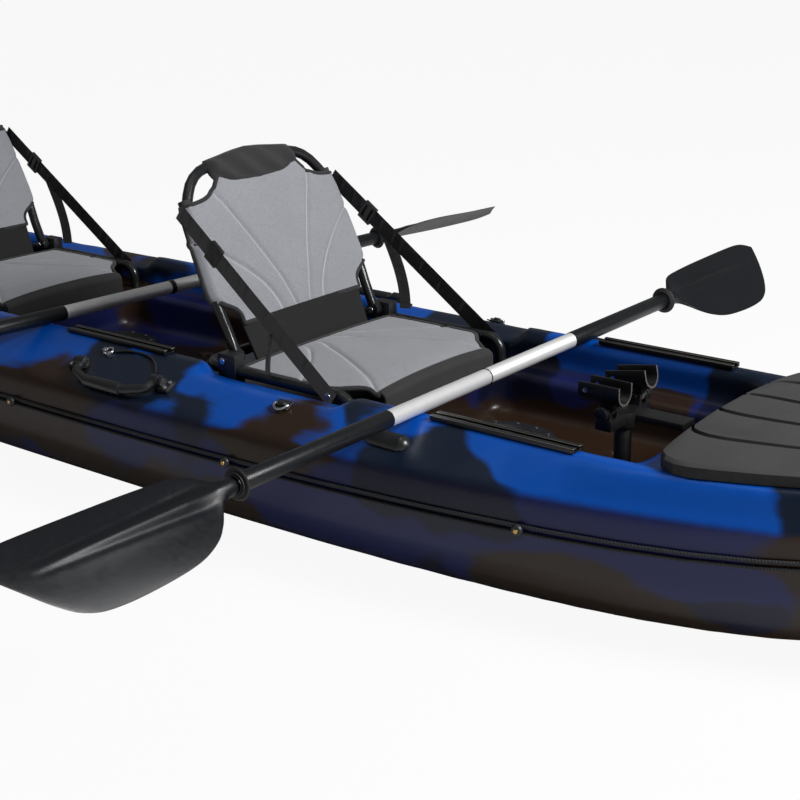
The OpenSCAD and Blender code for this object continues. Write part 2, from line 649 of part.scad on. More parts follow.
bolt_head = 3;
module seat_bolts() color(bright_alloy) for (i = [0, 1]) at_seat(i) both_sides() {
    translate([-(pivot_h - rail_h) * tan(lean), 0, pivot_h]) {
        across(leg_y - tube_r - side_gap - bolt_head, 0, 0, bolt_head, bolt_head_d);
        across(leg_y - tube_r - side_gap, 0, 0, bracket_out - leg_y + tube_r + side_gap, bolt_d);
        across(bracket_out, 0, 0, bolt_head, bolt_head_d);
    }
    translate([strap_foot.x, 0, rail_h]) {
        across(rail_y - tube_r + seat_gap, 0, 0, strap_y + strap_t / 2 - rail_y + tube_r + strap_play,
            bolt_d);
        across(strap_y + strap_t / 2 + seat_gap + strap_play, 0, 0, bolt_head, bolt_head_d);
    }
}

// Gear tracks on the ridges: an extruded channel with a T slot
slot_in = 18;
track_floor = 2.5;
track_lip = 2;
module track_profile() difference() {
    translate([-track_w / 2, 0]) square([track_w, track_h]);
    translate([-slot_in / 2, track_floor]) square([slot_in, track_h - track_floor - track_lip]);
    translate([-slot_w / 2, track_floor]) square([slot_w, track_h]);
}
module gear_track(x) color("#26282a") both_sides()
    translate([x - track_l / 2, -ridge_gauge / 2, ridge_h]) rotate([90, 0, 90]) linear_extrude(track_l)
        track_profile();
module front_gear_tracks() gear_track(track_front_x);
module rear_gear_tracks() gear_track(track_rear_x);
track_screw_d = 8;
track_screw_in = 14;
module track_screws() color(bright_alloy) for (x = [track_front_x, track_rear_x], e = [-1, 0, 1]) both_sides()
    translate([x + e * (track_l / 2 - track_screw_in), -ridge_gauge / 2, ridge_h + track_floor])
        cylinder(h = 3, d = track_screw_d, $fn = 24);

// Fittings on the sloped shoulder: local Z stands off the shoulder, local -Y runs outboard
fitting_y = 370;
pitch_span = 40;
function shoulder_pitch(x, y) =
    atan2(shoulder_z(x + pitch_span, y) - shoulder_z(x - pitch_span, y), 2 * pitch_span);
module on_shoulder(x, y) translate([x, -y, shoulder_z(x, y)]) rotate([shoulder_slope(x), 0, 0])
    rotate([0, -shoulder_pitch(x, y), 0]) translate([0, 0, 2 * seat_gap]) children();
pivot_up = 14;
handle_pin_d = 8;
eye_l = 20;
palm_l = 0.5 * handle_l;
palm_d = 1.35 * grip_d;
palm_up = palm_d / 2 + 3;
grip_sides = 12;
module handle() color("#1a1b1d") on_shoulder(handle_x, fitting_y) difference() {
    union() {
        cord(rounded([[-handle_l / 2, 0, pivot_up], [-0.47 * handle_l, -0.62 * handle_reach, pivot_up],
            [-palm_l / 2, -handle_reach, palm_up], [palm_l / 2, -handle_reach, palm_up],
            [0.47 * handle_l, -0.62 * handle_reach, pivot_up], [handle_l / 2, 0, pivot_up]], [14, 40, 40,
                14]),
            grip_d / 2, grip_sides);
        translate([-palm_l / 2, -handle_reach, palm_up]) rotate([0, 90, 0]) {
            translate([0, 0, 3]) cylinder(h = palm_l - 6, d = palm_d, $fn = 2 * grip_sides);
            cylinder(h = palm_l, d = palm_d - 4, $fn = 2 * grip_sides);
        }
        for (e = [-1, 1]) translate([e * handle_l / 2, 0, pivot_up]) rotate([0, 90, 0])
            cylinder(h = eye_l, d = grip_d + 6, center = true);
    }
    translate([0, 0, pivot_up]) rotate([0, 90, 0]) cylinder(h = 2 * handle_l,
        d = handle_pin_d + 2 * run_gap, center = true);
}
module starboard_handle() handle();
module port_handle() mirror([0, 1, 0]) handle();
mount_l = 26;
mount_w = 28;
mount_at = handle_l / 2 + eye_l / 2 + side_gap;
module handle_mounts() color("#1a1b1d") both_sides() on_shoulder(handle_x, fitting_y) for (e = [0, 1])
    mirror([e, 0, 0]) {
    translate([mount_at, -mount_w / 2, 0]) cube([mount_l, mount_w, 8]);
    translate([mount_at, -grip_d / 2, 0]) cube([10, grip_d, pivot_up]);
    translate([mount_at, 0, pivot_up]) rotate([0, 90, 0]) cylinder(h = 10, d = grip_d);
    translate([mount_at - eye_l, 0, pivot_up]) rotate([0, 90, 0]) cylinder(h = eye_l + 1, d = handle_pin_d);
}
module handle_screws() color(bright_alloy) both_sides() on_shoulder(handle_x, fitting_y) for (e = [0, 1],
    y = [-8, 8])
    mirror([e, 0, 0]) translate([mount_at + 18, y, 8]) cylinder(h = 3, d = 8, $fn = 24);

// Carry handles on the end decks: an arch on two round feet
end_handle_r = 58;
end_handle_in = 108;
end_handle_x = half_l - end_handle_in;
end_foot = 12;
function deck_slope(x) = atan2(deck_z(x + 50) - deck_z(x - 50), 100);
module end_handle(way) translate([way * end_handle_x, 0, deck_z(end_handle_x) + 1]) rotate([0,
    -deck_slope(way * end_handle_x), 0]) {
    translate([0, 0, end_foot]) rotate([90, 0, 0]) rotate_extrude(angle = 180) translate([end_handle_r, 0])
        circle(d = grip_d);
    for (e = [-1, 1]) translate([e * end_handle_r, 0, 0]) cylinder(h = end_foot, d = grip_d + 10);
}
module end_handles() color("#1a1b1d") for (way = [-1, 1]) end_handle(way);
drain_in = 60;
drain_x = tank_front - tank_l - drain_in;
module drain_plug() color("#141517") translate([drain_x, 0, deck_z(drain_x)]) rotate([0,
    -deck_slope(drain_x), 0])
    translate([0, 0, 2 * seat_gap]) rotate_extrude() polygon([[0, 0], [17, 0], [17, 4], [12, 6], [10, 12],
        [0, 12]]);

// Rings, their bases and the paddle rests
ring_y = 342;
ring_up = 6;
saddle_l = 14;
module ring() color("#b9bcc0") on_shoulder(ring_x, ring_y) translate([0, 0, ring_up]) {
    rotate([0, 90, 0]) cylinder(h = ring_d, d = ring_wire, center = true);
    rotate([0, 0, 180]) rotate_extrude(angle = 180) translate([ring_d / 2, 0]) circle(d = ring_wire,
        $fn = 24);
    for (e = [-1, 1]) translate([e * ring_d / 2, 0, 0]) sphere(d = ring_wire, $fn = 24);
}
module starboard_ring() ring();
module port_ring() mirror([0, 1, 0]) ring();
module ring_bases() color("#1a1b1d") both_sides() on_shoulder(ring_x, ring_y) difference() {
    union() {
        translate([-17, -9, 0]) cube([34, 24, 2.4]);
        translate([-saddle_l / 2, -5, 0]) cube([saddle_l, 10, ring_up]);
        translate([0, 0, ring_up]) rotate([0, 90, 0]) cylinder(h = saddle_l, d = 10, center = true);
    }
    translate([0, 0, ring_up]) rotate([0, 90, 0]) cylinder(h = 60, d = ring_wire + 2 * run_gap,
        center = true);
}
rest_y = 352;
rest_l = 96;
rest_r = 20;
rest_sink = 6;
module paddle_rests() color("#18191b") both_sides() on_shoulder(rest_x, rest_y) translate([0, 0,
    2.6 * seat_gap]) intersection() {
    translate([0, 0, -rest_sink]) rotate([0, 90, 0]) union() {
        cylinder(h = rest_l - 2 * rest_r, r = rest_r, center = true);
        for (e = [-1, 1]) translate([0, 0, e * (rest_l / 2 - rest_r)]) sphere(r = rest_r);
    }
    translate([-rest_l, -rest_l, 0]) cube(2 * rest_l);
}

// Paddle keeper: a short elastic cord on the starboard shoulder, hooked to a clip at its rear end
keeper_d = 5;
keeper_route = [[-62, 318], [-48, 313], [-32, 309], [-14, 307], [6, 307], [24, 309], [42, 314], [58, 323],
    [72, 334], [84, 345]];
module keeper_cord() color("#161718")
    cord([for (p = keeper_route) [p.x, -p.y, shoulder_z(p.x, p.y) + keeper_d / 2 + 2 * seat_gap]],
        keeper_d / 2, 8);
module keeper_clip() color("#b9bcc0") on_shoulder(keeper_route[0].x - 16, keeper_route[0].y + 3) {
    translate([0, 0, 4]) rotate_extrude() translate([10, 0]) circle(d = 5, $fn = 24);
    translate([-14, -5, 0]) cube([8, 10, 8]);
}

// Side trim: two cords along each side under round buttons
function side_y(x, z) =
    let(b = half_beam(x), k = keel_z(x), c = chine_z(x), h = c - k, m = trim_z(x), low = k + 0.48 * h)
    z < m ? mix(0.97 * b, b, (z - low) / (m - low)) : mix(b, 0.992 * b, (z - m) / (c - 3 - m));
trim_end = 1740;
trim_line = [for (x = station) if (abs(x) < trim_end) x];
function trim_point(x, up) = let(z = trim_z(x) + up) [x, -side_y(x, z) - trim_d / 2 - 3 * seat_gap, z];
module trim() color("#15171b") for (up = [-trim_gap / 2, trim_gap / 2])
    cord([for (x = trim_line) trim_point(x, up)], trim_d / 2, 8);
module starboard_trim() trim();
module port_trim() mirror([0, 1, 0]) trim();
button_sites = [for (i = [-3:2]) button_x + i * button_pitch];
function side_turn(x) = atan((half_beam(x - 20) - half_beam(x + 20)) / 40);
module at_button(x) translate([x, -half_beam(x), trim_z(x)]) rotate(side_turn(x)) rotate([90, 0, 0])
    children();
button_t = 6;
button_up = trim_d + 6 * seat_gap;
module trim_buttons() color("#1b1c1e") both_sides() for (x = button_sites) at_button(x) {
    translate([0, 0, button_up]) cylinder(h = button_t, d1 = button_d, d2 = button_d - 5);
    translate([0, 0, 1.2]) cylinder(h = button_up, d = trim_gap - trim_d - 1);
}
module trim_screws() color(brass) both_sides() for (x = button_sites) at_button(x)
    translate([0, 0, button_up + button_t]) cylinder(h = 1.6, d = 8, $fn = 24);

// Twin rod holder on a post in the front foot well
post_flange = 90;
spigot_d = 20;
spigot_l = 22;
module at_post() translate([post_x, 0, floor_h]) children();
module rod_post() color("#18191b") at_post() {
    rotate_extrude() polygon([[0, seat_gap], [post_flange / 2, seat_gap], [post_flange / 2, 6],
        [post_d / 2 + 8, 10],
        [post_d / 2, 22], [post_d / 2, post_h], [spigot_d / 2, post_h], [spigot_d / 2, post_h + spigot_l],
            [0, post_h + spigot_l]]);
}
hub_d = 46;
hub_h = 28;
tongue_w = 16;
ear_t = 6;
pin_up = hub_h + 14;
cradle_y = cradle_gauge / 2;
module at_head() translate([post_x, 0, floor_h + post_h + seat_gap]) children();
module rod_head() color("#202124") at_head() difference() {
    union() {
        cylinder(h = hub_h, d = hub_d);
        translate([-16, -cradle_y - 18, 8]) cube([32, 2 * cradle_y + 36, hub_h - 8]);
        for (s = [-1, 1], e = [-1, 1]) translate([-12,
            s * cradle_y + e * (tongue_w / 2 + 0.6 + ear_t / 2) - ear_t / 2, hub_h - 4])
            cube([24, ear_t, pin_up + 8 - hub_h + 4]);
        translate([14, 6, 10]) cube([104, 44, 12]);
    }
    translate([0, 0, -1]) cylinder(h = spigot_l + 2, d = spigot_d + 2 * run_gap);
    for (s = [-1, 1]) translate([0, s * cradle_y, pin_up]) rotate([90, 0, 0]) cylinder(h = 50, d = bolt_d,
        center = true);
}
cradle_lift = 14;
cradle_tail = 0.6 * cradle_l;
module cradle_profile() difference() {
    union() {
        translate([0, cradle_w / 2]) circle(d = cradle_w);
        translate([-cradle_w / 2, cradle_w / 2]) square([cradle_w, cradle_h - cradle_w / 2]);
        translate([-tongue_w / 2, 0]) square([tongue_w, cradle_w / 2]);
    }
    translate([0, cradle_w / 2]) circle(d = cradle_w - 2 * cradle_t);
    translate([cradle_t - cradle_w / 2, cradle_w / 2]) square([cradle_w - 2 * cradle_t, cradle_h]);
}
module cradle(tilt) rotate([0, -tilt, 0]) difference() {
    union() {
        translate([-cradle_tail, 0, cradle_lift]) rotate([90, 0, 90]) linear_extrude(cradle_l)
            cradle_profile();
        translate([-13, -tongue_w / 2, 0]) cube([26, tongue_w, cradle_lift + 3]);
        rotate([90, 0, 0]) cylinder(h = tongue_w, d = 20, center = true);
    }
    rotate([90, 0, 0]) cylinder(h = 2 * cradle_w, d = bolt_d + 2 * run_gap, center = true);
    translate([-cradle_tail + 14, 0, cradle_lift + cradle_w / 2]) rotate([90, 0, 0])
        cylinder(h = 2 * cradle_w, d = 10, center = true);
}
module starboard_cradle() color("#242629") at_head() translate([0, -cradle_y, pin_up]) cradle(0);
module port_cradle() color("#242629") at_head() translate([0, cradle_y, pin_up]) cradle(cradle_tilt);
knob_d = 26;
ear_out = tongue_w / 2 + 0.6 + ear_t;
module cradle_pins() color("#121314") at_head() for (s = [-1, 1]) translate([0, s * cradle_y, pin_up])
    rotate([s * 90, 0, 0]) {
    translate([0, 0, -ear_out - 14]) cylinder(h = 14, d = knob_d, $fn = 9);
    translate([0, 0, -ear_out]) cylinder(h = 2 * ear_out, d = bolt_d);
    translate([0, 0, ear_out]) cylinder(h = 3, d = 13);
}

// Paddles, each drawn along Y about the line where its halves meet
shaft_r = shaft_d / 2;
sleeve_r = shaft_r + sleeve_t;
shaft_wall = 2;
spigot_reach = 90;
half_shaft = paddle_l / 2 - blade_l;
drip_in = 14;
drip_t = 12;
paddle_z = ridge_h + seat_gap + sleeve_r;
front_paddle_y = -80;
rear_paddle_y = 49;
front_blade_tilt = 36;
rear_blade_tilt = -28;
module front_paddle() translate([paddle_front_x, front_paddle_y, paddle_z]) children();
module rear_paddle() translate([paddle_rear_x, rear_paddle_y, paddle_z]) rotate(-paddle_rear_turn) children();
module along_y(from, to, r) translate([0, from, 0]) rotate([-90, 0, 0]) cylinder(h = to - from, r = r);
module near_shaft() color(bright_alloy) difference() {
    union() {
        along_y(-half_shaft, -seat_gap / 2, shaft_r);
        along_y(-half_shaft, -bright_l, sleeve_r);
    }
    along_y(-half_shaft - 1, 1, shaft_r - shaft_wall);
}
module far_shaft() color(bright_alloy) difference() {
    union() {
        along_y(seat_gap / 2, half_shaft, shaft_r);
        along_y(bright_l, half_shaft, sleeve_r);
        along_y(-spigot_reach, 20, shaft_r - shaft_wall - run_gap);
    }
    along_y(-spigot_reach - 1, half_shaft + 1, shaft_r - 2 * shaft_wall);
}
// Blade outline, in shares of its length and width: one edge full, the other straight from a square shoulder,
// and a slanted tip. Each ring runs from the round socket to the dished, spined blade.
full_edge = [[0, 0.1], [0.06, 0.12], [0.12, 0.3], [0.2, 0.48], [0.32, 0.58], [0.5, 0.61], [0.66, 0.6],
    [0.76, 0.54],
    [0.82, 0.42], [0.9, 0.16], [0.97, -0.1], [1, -0.22]];
straight_edge = [[0, 0.1], [0.05, 0.12], [0.09, 0.26], [0.16, 0.32], [0.4, 0.36], [0.7, 0.38], [0.88, 0.38],
    [0.95, 0.35], [0.985, 0.29], [1, 0.24]];
blade_rings = [0, 0.04, 0.07, 0.1, 0.15, 0.22, 0.32, 0.44, 0.56, 0.67, 0.76, 0.83, 0.89, 0.94, 0.975, 1];
spine_h = 8;
spine_w = 17;
dish = 16;
blade_sides = 20;
function blade_y(t, c) =
    let(a = lookup(t, full_edge), b = lookup(t, straight_edge))
    blade_w * mix(c * (c > 0 ? max(a, 0) : b), (a - b) / 2 + c * (a + b) / 2, above(t, 0.7, 0.88));
function blade_ring(t) =
    let(grow = above(t, 0.03, 0.16), body = grow * grow * (3 - 2 * grow),
        thin = blade_t / 2 * (1 - 0.5 * above(t, 0.6, 1)))
    [for (i = [0:blade_sides - 1]) let(a = -i * 360 / blade_sides, c = cos(a), s = sin(a), w = blade_y(t, c),
            rib = s > 0 ? spine_h * max(0, 1 - abs(w) / spine_w) * (1 - above(t, 0.5, 0.92)) : 0)
        [mix(sleeve_r * c, w, body), t * blade_l,
            mix(sleeve_r * s, thin * s + rib - dish * pow(w / blade_w, 2) * 2 * above(t, 0.15, 0.6), body)]];
module blade() skin([for (t = blade_rings) blade_ring(t)]);
module far_blade(tilt) color("#26282c") rotate([0, tilt, 0]) translate([0, half_shaft, 0]) blade();
module near_blade(tilt) mirror([0, 1, 0]) far_blade(tilt);
module drip_ring() color("#0f1011") rotate([-90, 0, 0]) rotate_extrude()
    polygon([[sleeve_r + run_gap, 0], [sleeve_r + 4, 0], [drip_d / 2, drip_t / 2], [drip_d / 2 - 3,
        drip_t / 2 + 3], [sleeve_r + 4, drip_t / 2 + 2], [sleeve_r + 4, drip_t], [sleeve_r + run_gap,
        drip_t]]);
module far_drip() translate([0, half_shaft - drip_in, 0]) drip_ring();
module near_drip() mirror([0, 1, 0]) far_drip();

module front_seat_base_frame() base_frame(0);
module front_seat_base_sling() base_sling(0);
module front_seat_back_frame() back_frame(0);
module front_seat_back_sling() back_sling(0);
module front_seat_straps() seat_straps(0);
module front_seat_buckles() seat_buckles(0);
module rear_seat_base_frame() base_frame(1);
module rear_seat_base_sling() base_sling(1);
module rear_seat_back_frame() back_frame(1);
module rear_seat_back_sling() back_sling(1);
module rear_seat_straps() seat_straps(1);
module rear_seat_buckles() seat_buckles(1);
module front_paddle_near_shaft() front_paddle() near_shaft();
module front_paddle_near_blade() front_paddle() near_blade(front_blade_tilt);
module front_paddle_near_ring() front_paddle() near_drip();
module front_paddle_far_shaft() front_paddle() far_shaft();
module front_paddle_far_blade() front_paddle() far_blade(front_blade_tilt);
module front_paddle_far_ring() front_paddle() far_drip();
module rear_paddle_near_shaft() rear_paddle() near_shaft();
module rear_paddle_near_blade() rear_paddle() near_blade(rear_blade_tilt);
module rear_paddle_near_ring() rear_paddle() near_drip();
module rear_paddle_far_shaft() rear_paddle() far_shaft();
module rear_paddle_far_blade() rear_paddle() far_blade(rear_blade_tilt);
module rear_paddle_far_ring() rear_paddle() far_drip();

hull_shell();
bow_hatch_rim();
bow_hatch_lid();
bow_hatch_hinge();
bow_hatch_pin();
front_hatch_ring();
front_hatch_lid();
rear_hatch_ring();
rear_hatch_lid();
hatch_screws_set();
front_seat_base_frame();
front_seat_base_sling();
front_seat_back_frame();
front_seat_back_sling();
front_seat_straps();
front_seat_buckles();
rear_seat_base_frame();
rear_seat_base_sling();
rear_seat_back_frame();
rear_seat_back_sling();
rear_seat_straps();
rear_seat_buckles();
seat_brackets();
seat_bolts();
front_gear_tracks();
rear_gear_tracks();
track_screws();
starboard_handle();
port_handle();
handle_mounts();
handle_screws();
end_handles();
drain_plug();
starboard_ring();
port_ring();
ring_bases();
paddle_rests();
keeper_cord();
keeper_clip();
starboard_trim();
port_trim();
trim_buttons();
trim_screws();
rod_post();
rod_head();
starboard_cradle();
port_cradle();
cradle_pins();
front_paddle_near_shaft();
front_paddle_near_blade();
front_paddle_near_ring();
front_paddle_far_shaft();
front_paddle_far_blade();
front_paddle_far_ring();
rear_paddle_near_shaft();
rear_paddle_near_blade();
rear_paddle_near_ring();
rear_paddle_far_shaft();
rear_paddle_far_blade();
rear_paddle_far_ring();
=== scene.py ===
"""Looks of a sit-on-top tandem kayak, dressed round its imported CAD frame. Metres: +X bow, +Y port, +Z up."""

import math

import bmesh
import bpy
from mathutils import Matrix, Vector


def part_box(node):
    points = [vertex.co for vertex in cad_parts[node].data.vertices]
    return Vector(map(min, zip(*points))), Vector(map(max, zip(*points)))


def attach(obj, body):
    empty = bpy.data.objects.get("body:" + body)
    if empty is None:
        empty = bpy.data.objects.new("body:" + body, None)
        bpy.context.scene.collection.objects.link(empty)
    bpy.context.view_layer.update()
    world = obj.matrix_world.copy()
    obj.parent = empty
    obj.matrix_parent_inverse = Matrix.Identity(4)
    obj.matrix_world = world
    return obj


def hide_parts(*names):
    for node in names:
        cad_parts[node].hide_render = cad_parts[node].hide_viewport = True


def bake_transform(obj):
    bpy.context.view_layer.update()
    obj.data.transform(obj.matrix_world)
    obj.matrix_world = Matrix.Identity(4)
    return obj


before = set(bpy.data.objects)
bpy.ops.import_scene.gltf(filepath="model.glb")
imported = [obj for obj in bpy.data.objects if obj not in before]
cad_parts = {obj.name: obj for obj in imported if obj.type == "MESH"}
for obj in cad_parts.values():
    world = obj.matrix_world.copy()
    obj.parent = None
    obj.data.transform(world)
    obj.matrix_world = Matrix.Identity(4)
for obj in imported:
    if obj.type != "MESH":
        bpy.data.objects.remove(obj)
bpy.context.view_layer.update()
scene = bpy.context.scene


# Camera
# A long lens stands off the starboard bow, a little above the seats, and crops both ends of the boat.
CAMERA_AT = Vector((2.307, -2.345, 1.223))
CAMERA_TURN, CAMERA_DIP, CAMERA_ROLL = 38.796, 18.684, -1.067
LENS_MM, SENSOR_MM = 70.68, 36.0

camera = bpy.data.objects.new("camera", bpy.data.cameras.new("camera"))
scene.collection.objects.link(camera)
camera.data.lens = LENS_MM
camera.data.sensor_width = SENSOR_MM
camera.matrix_world = (
    Matrix.Translation(CAMERA_AT)
    @ Matrix.Rotation(math.radians(CAMERA_TURN), 4, "Z")
    @ Matrix.Rotation(math.radians(90 - CAMERA_DIP), 4, "X")
    @ Matrix.Rotation(math.radians(CAMERA_ROLL), 4, "Z")
)
scene.camera = camera
scene.view_settings.view_transform = "Standard"


# Studio
# A pale floor runs out of sight, one large soft lamp hangs over the bow and a weaker one fills the starboard
# side.
class Value:
    """A number that changes over a surface: arithmetic on it adds Math nodes."""

    def __init__(self, finish, socket):
        self.finish, self.socket = finish, socket

    def math(self, operation, *others):
        return self.finish.node("ShaderNodeMath", {"operation": operation}, [self, *others])

    def __add__(self, other):
        return self.math("ADD", other)

    def __sub__(self, other):
        return self.math("SUBTRACT", other)

    def __rsub__(self, other):
        return self.finish.node("ShaderNodeMath", {"operation": "SUBTRACT"}, [other, self])

    def __mul__(self, other):
        return self.math("MULTIPLY", other)

    __radd__, __rmul__ = __add__, __mul__

    def step(self, low, high):
        """0 below low, 1 above high, smooth between."""
        return self.finish.node(
            "ShaderNodeMapRange",
            {"interpolation_type": "SMOOTHSTEP"},
            {"Value": self, "From Min": low, "From Max": high},
        )


class Finish:
    """A material whose nodes are written as expressions; shader holds its Principled sockets."""

    def __init__(self, name, **sockets):
        self.material = bpy.data.materials.new(name)
        self.material.use_nodes = True
        self.tree = self.material.node_tree
        self.shader = self.tree.nodes["Principled BSDF"]
        self.wire(self.shader, sockets)

    def wire(self, node, sockets):
        pairs = sockets.items() if isinstance(sockets, dict) else enumerate(sockets)
        for key, value in pairs:
            socket = node.inputs[key.replace("_", " ") if isinstance(key, str) else key]
            if isinstance(value, Value):
                self.tree.links.new(value.socket, socket)
            else:
                socket.default_value = value

    def node(self, kind, settings=None, sockets=(), output=0):
        made = self.tree.nodes.new(kind)
        for key, value in (settings or {}).items():
            if key == "stops":
                for stop, (place, colour) in zip(self.stops(made, len(value)), value):
                    stop.position, stop.color = place, colour
            else:
                setattr(made, key, value)
        self.wire(made, sockets)
        return Value(self, made.outputs[output])

    @staticmethod
    def stops(ramp, count):
        elements = ramp.color_ramp.elements
        while len(elements) < count:
            elements.new(0.5)
        return elements

    def place(self, scale=(1, 1, 1), turn=(0, 0, 0), shift=(0, 0, 0)):
        here = self.node("ShaderNodeTexCoord", output=3)
        sockets = {"Vector": here, "Scale": scale, "Rotation": turn, "Location": shift}
        return self.node("ShaderNodeMapping", None, sockets)

    def noise(self, scale, detail=3.0, where=None, rough=0.5):
        where = where or self.place()
        sockets = {"Vector": where, "Scale": scale, "Detail": detail, "Roughness": rough}
        return self.node("ShaderNodeTexNoise", None, sockets)

    def weave(self, scale, distortion=0.0):
        """Fine diagonal bands, as on webbing, braid and pack cloth."""
        sockets = {"Vector": self.place(), "Scale": scale, "Distortion": distortion}
        return self.node("ShaderNodeTexWave", {"bands_direction": "DIAGONAL"}, sockets)

    def mix(self, factor, a, b):
        """Colour a where factor is 0 and b where it is 1."""
        return self.node("ShaderNodeMix", {"data_type": "RGBA"}, {0: factor, 6: a, 7: b}, output=2)

    def bump(self, height, depth, strength=1.0):
        made = self.node("ShaderNodeBump", None, {"Height": height, "Distance": depth, "Strength": strength})
        self.wire(self.shader, {"Normal": made})
        return self

    def paint(self, **sockets):
        self.wire(self.shader, sockets)
        return self


def rgb(red, green, blue):
    """A colour given as it looks on screen, 0 to 255, as the linear values that a shader takes."""
    seen = (red / 255, green / 255, blue / 255)
    return (*(c / 12.92 if c <= 0.04045 else ((c + 0.055) / 1.055) ** 2.4 for c in seen), 1.0)


def stand(name, data, finish=None):
    """Links a mesh or curve into the scene as an object at the origin."""
    made = bpy.data.objects.new(name, data)
    scene.collection.objects.link(made)
    if finish:
        data.materials.append(finish.material)
    return made


def mesh_of(bm, name):
    mesh = bpy.data.meshes.new(name)
    bm.to_mesh(mesh)
    bm.free()
    return mesh


FLOOR_SPAN, FLOOR_DROP = 30, 0.002
FLOOR_GLOW = 0.93
floor_finish = Finish("studio_floor", Roughness=0.9, Specular_IOR_Level=0.1)
floor_grain = floor_finish.noise(2.0)
floor_finish.paint(Base_Color=floor_finish.mix(floor_grain, rgb(214, 214, 214), rgb(220, 220, 220)))
lit_floor = Value(floor_finish, floor_finish.shader.outputs[0])
white_floor = floor_finish.node("ShaderNodeEmission")
seen_share = floor_finish.node("ShaderNodeLightPath") * FLOOR_GLOW
floor_finish.wire(
    floor_finish.tree.nodes["Material Output"],
    {"Surface": floor_finish.node("ShaderNodeMixShader", None, [seen_share, lit_floor, white_floor])},
)
bm = bmesh.new()
bmesh.ops.create_grid(bm, x_segments=1, y_segments=1, size=FLOOR_SPAN)
floor = stand("studio_floor", mesh_of(bm, "studio_floor"), floor_finish)
floor.location.z = -FLOOR_DROP

AMBIENT = 0.15
world = bpy.data.worlds.new("studio")
scene.world = world
world.use_nodes = True
backdrop = world.node_tree.nodes["Background"]
backdrop.inputs["Color"].default_value = (1, 1, 1, 1)
rays = world.node_tree.nodes.new("ShaderNodeLightPath")
level = world.node_tree.nodes.new("ShaderNodeMapRange")
level.inputs["To Min"].default_value = AMBIENT
world.node_tree.links.new(rays.outputs["Is Camera Ray"], level.inputs["Value"])
world.node_tree.links.new(level.outputs[0], backdrop.inputs["Strength"])


def lamp(name, at, toward, size, watts):
    made = bpy.data.objects.new(name, bpy.data.lights.new(name, "AREA"))
    scene.collection.objects.link(made)
    made.data.size, made.data.energy = size, watts
    made.location = at
    made.rotation_euler = (Vector(toward) - Vector(at)).to_track_quat("-Z", "Y").to_euler()


lamp("key_lamp", (4.3, 0.5, 3.3), (0.1, 0, 0.3), 1.6, 290)
lamp("top_lamp", (0.4, -0.6, 4.4), (0.4, -0.2, 0.3), 2.6, 14)


# Hull
# One rotomoulded polyethylene shell, its colours swirled in the mould into soft camouflage patches.
# Here it is the CAD skin without its inner face, remeshed so that every moulded edge is rounded.
VOXEL = 0.010
ROUNDING = 5
HATCH_SITES = (0.665, -0.457)
HATCH_BORE = 0.088
HATCH_WALL = (0.130, 0.151)
BOW_OPENING, BOW_OPENING_HALF = (1.19, 1.60), 0.21
BOW_WALL = (0.285, 0.330)
HOLD_DEPTH = 0.11
SLACK = 0.002


def merged_copy(node):
    """A CAD node's triangles as a bmesh with shared corners."""
    bm = bmesh.new()
    bm.from_mesh(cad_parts[node].data)
    bmesh.ops.remove_doubles(bm, verts=bm.verts, dist=1e-5)
    return bm


def is_opening_wall(face):
    x, y, z = face.calc_center_median()
    if abs(face.normal.z) > 0.2:
        return False
    if HATCH_WALL[0] < z < HATCH_WALL[1]:
        if any(math.hypot(x - site, y) < HATCH_BORE + SLACK for site in HATCH_SITES):
            return True
    return BOW_OPENING[0] < x < BOW_OPENING[1] and abs(y) < BOW_OPENING_HALF and BOW_WALL[0] < z < BOW_WALL[1]


def outer_skin(bm):
    """Keeps the faces that reach the keel without passing an opening, and sinks a hold below each opening."""
    bmesh.ops.delete(bm, geom=[f for f in bm.faces if is_opening_wall(f)], context="FACES")
    bm.faces.ensure_lookup_table()
    start = min(bm.faces, key=lambda f: f.calc_center_median().z)
    kept, edge_of_walk = {start}, [start]
    while edge_of_walk:
        face = edge_of_walk.pop()
        for edge in face.edges:
            for other in edge.link_faces:
                if other not in kept:
                    kept.add(other)
                    edge_of_walk.append(other)
    bmesh.ops.delete(bm, geom=[f for f in bm.faces if f not in kept], context="FACES")
    rims = [e for e in bm.edges if e.is_boundary]
    sunk = bmesh.ops.extrude_edge_only(bm, edges=rims)["geom"]
    sunk = [part for part in sunk if isinstance(part, bmesh.types.BMVert)]
    bmesh.ops.translate(bm, verts=sunk, vec=(0, 0, -HOLD_DEPTH))
    bmesh.ops.holes_fill(bm, edges=[e for e in bm.edges if e.is_boundary], sides=0)
    bmesh.ops.recalc_face_normals(bm, faces=bm.faces)


def baked(piece):
    """Applies a piece's modifiers to its mesh."""
    shown = bpy.data.meshes.new_from_object(piece.evaluated_get(bpy.context.evaluated_depsgraph_get()))
    piece.modifiers.clear()
    piece.data = shown
    return piece


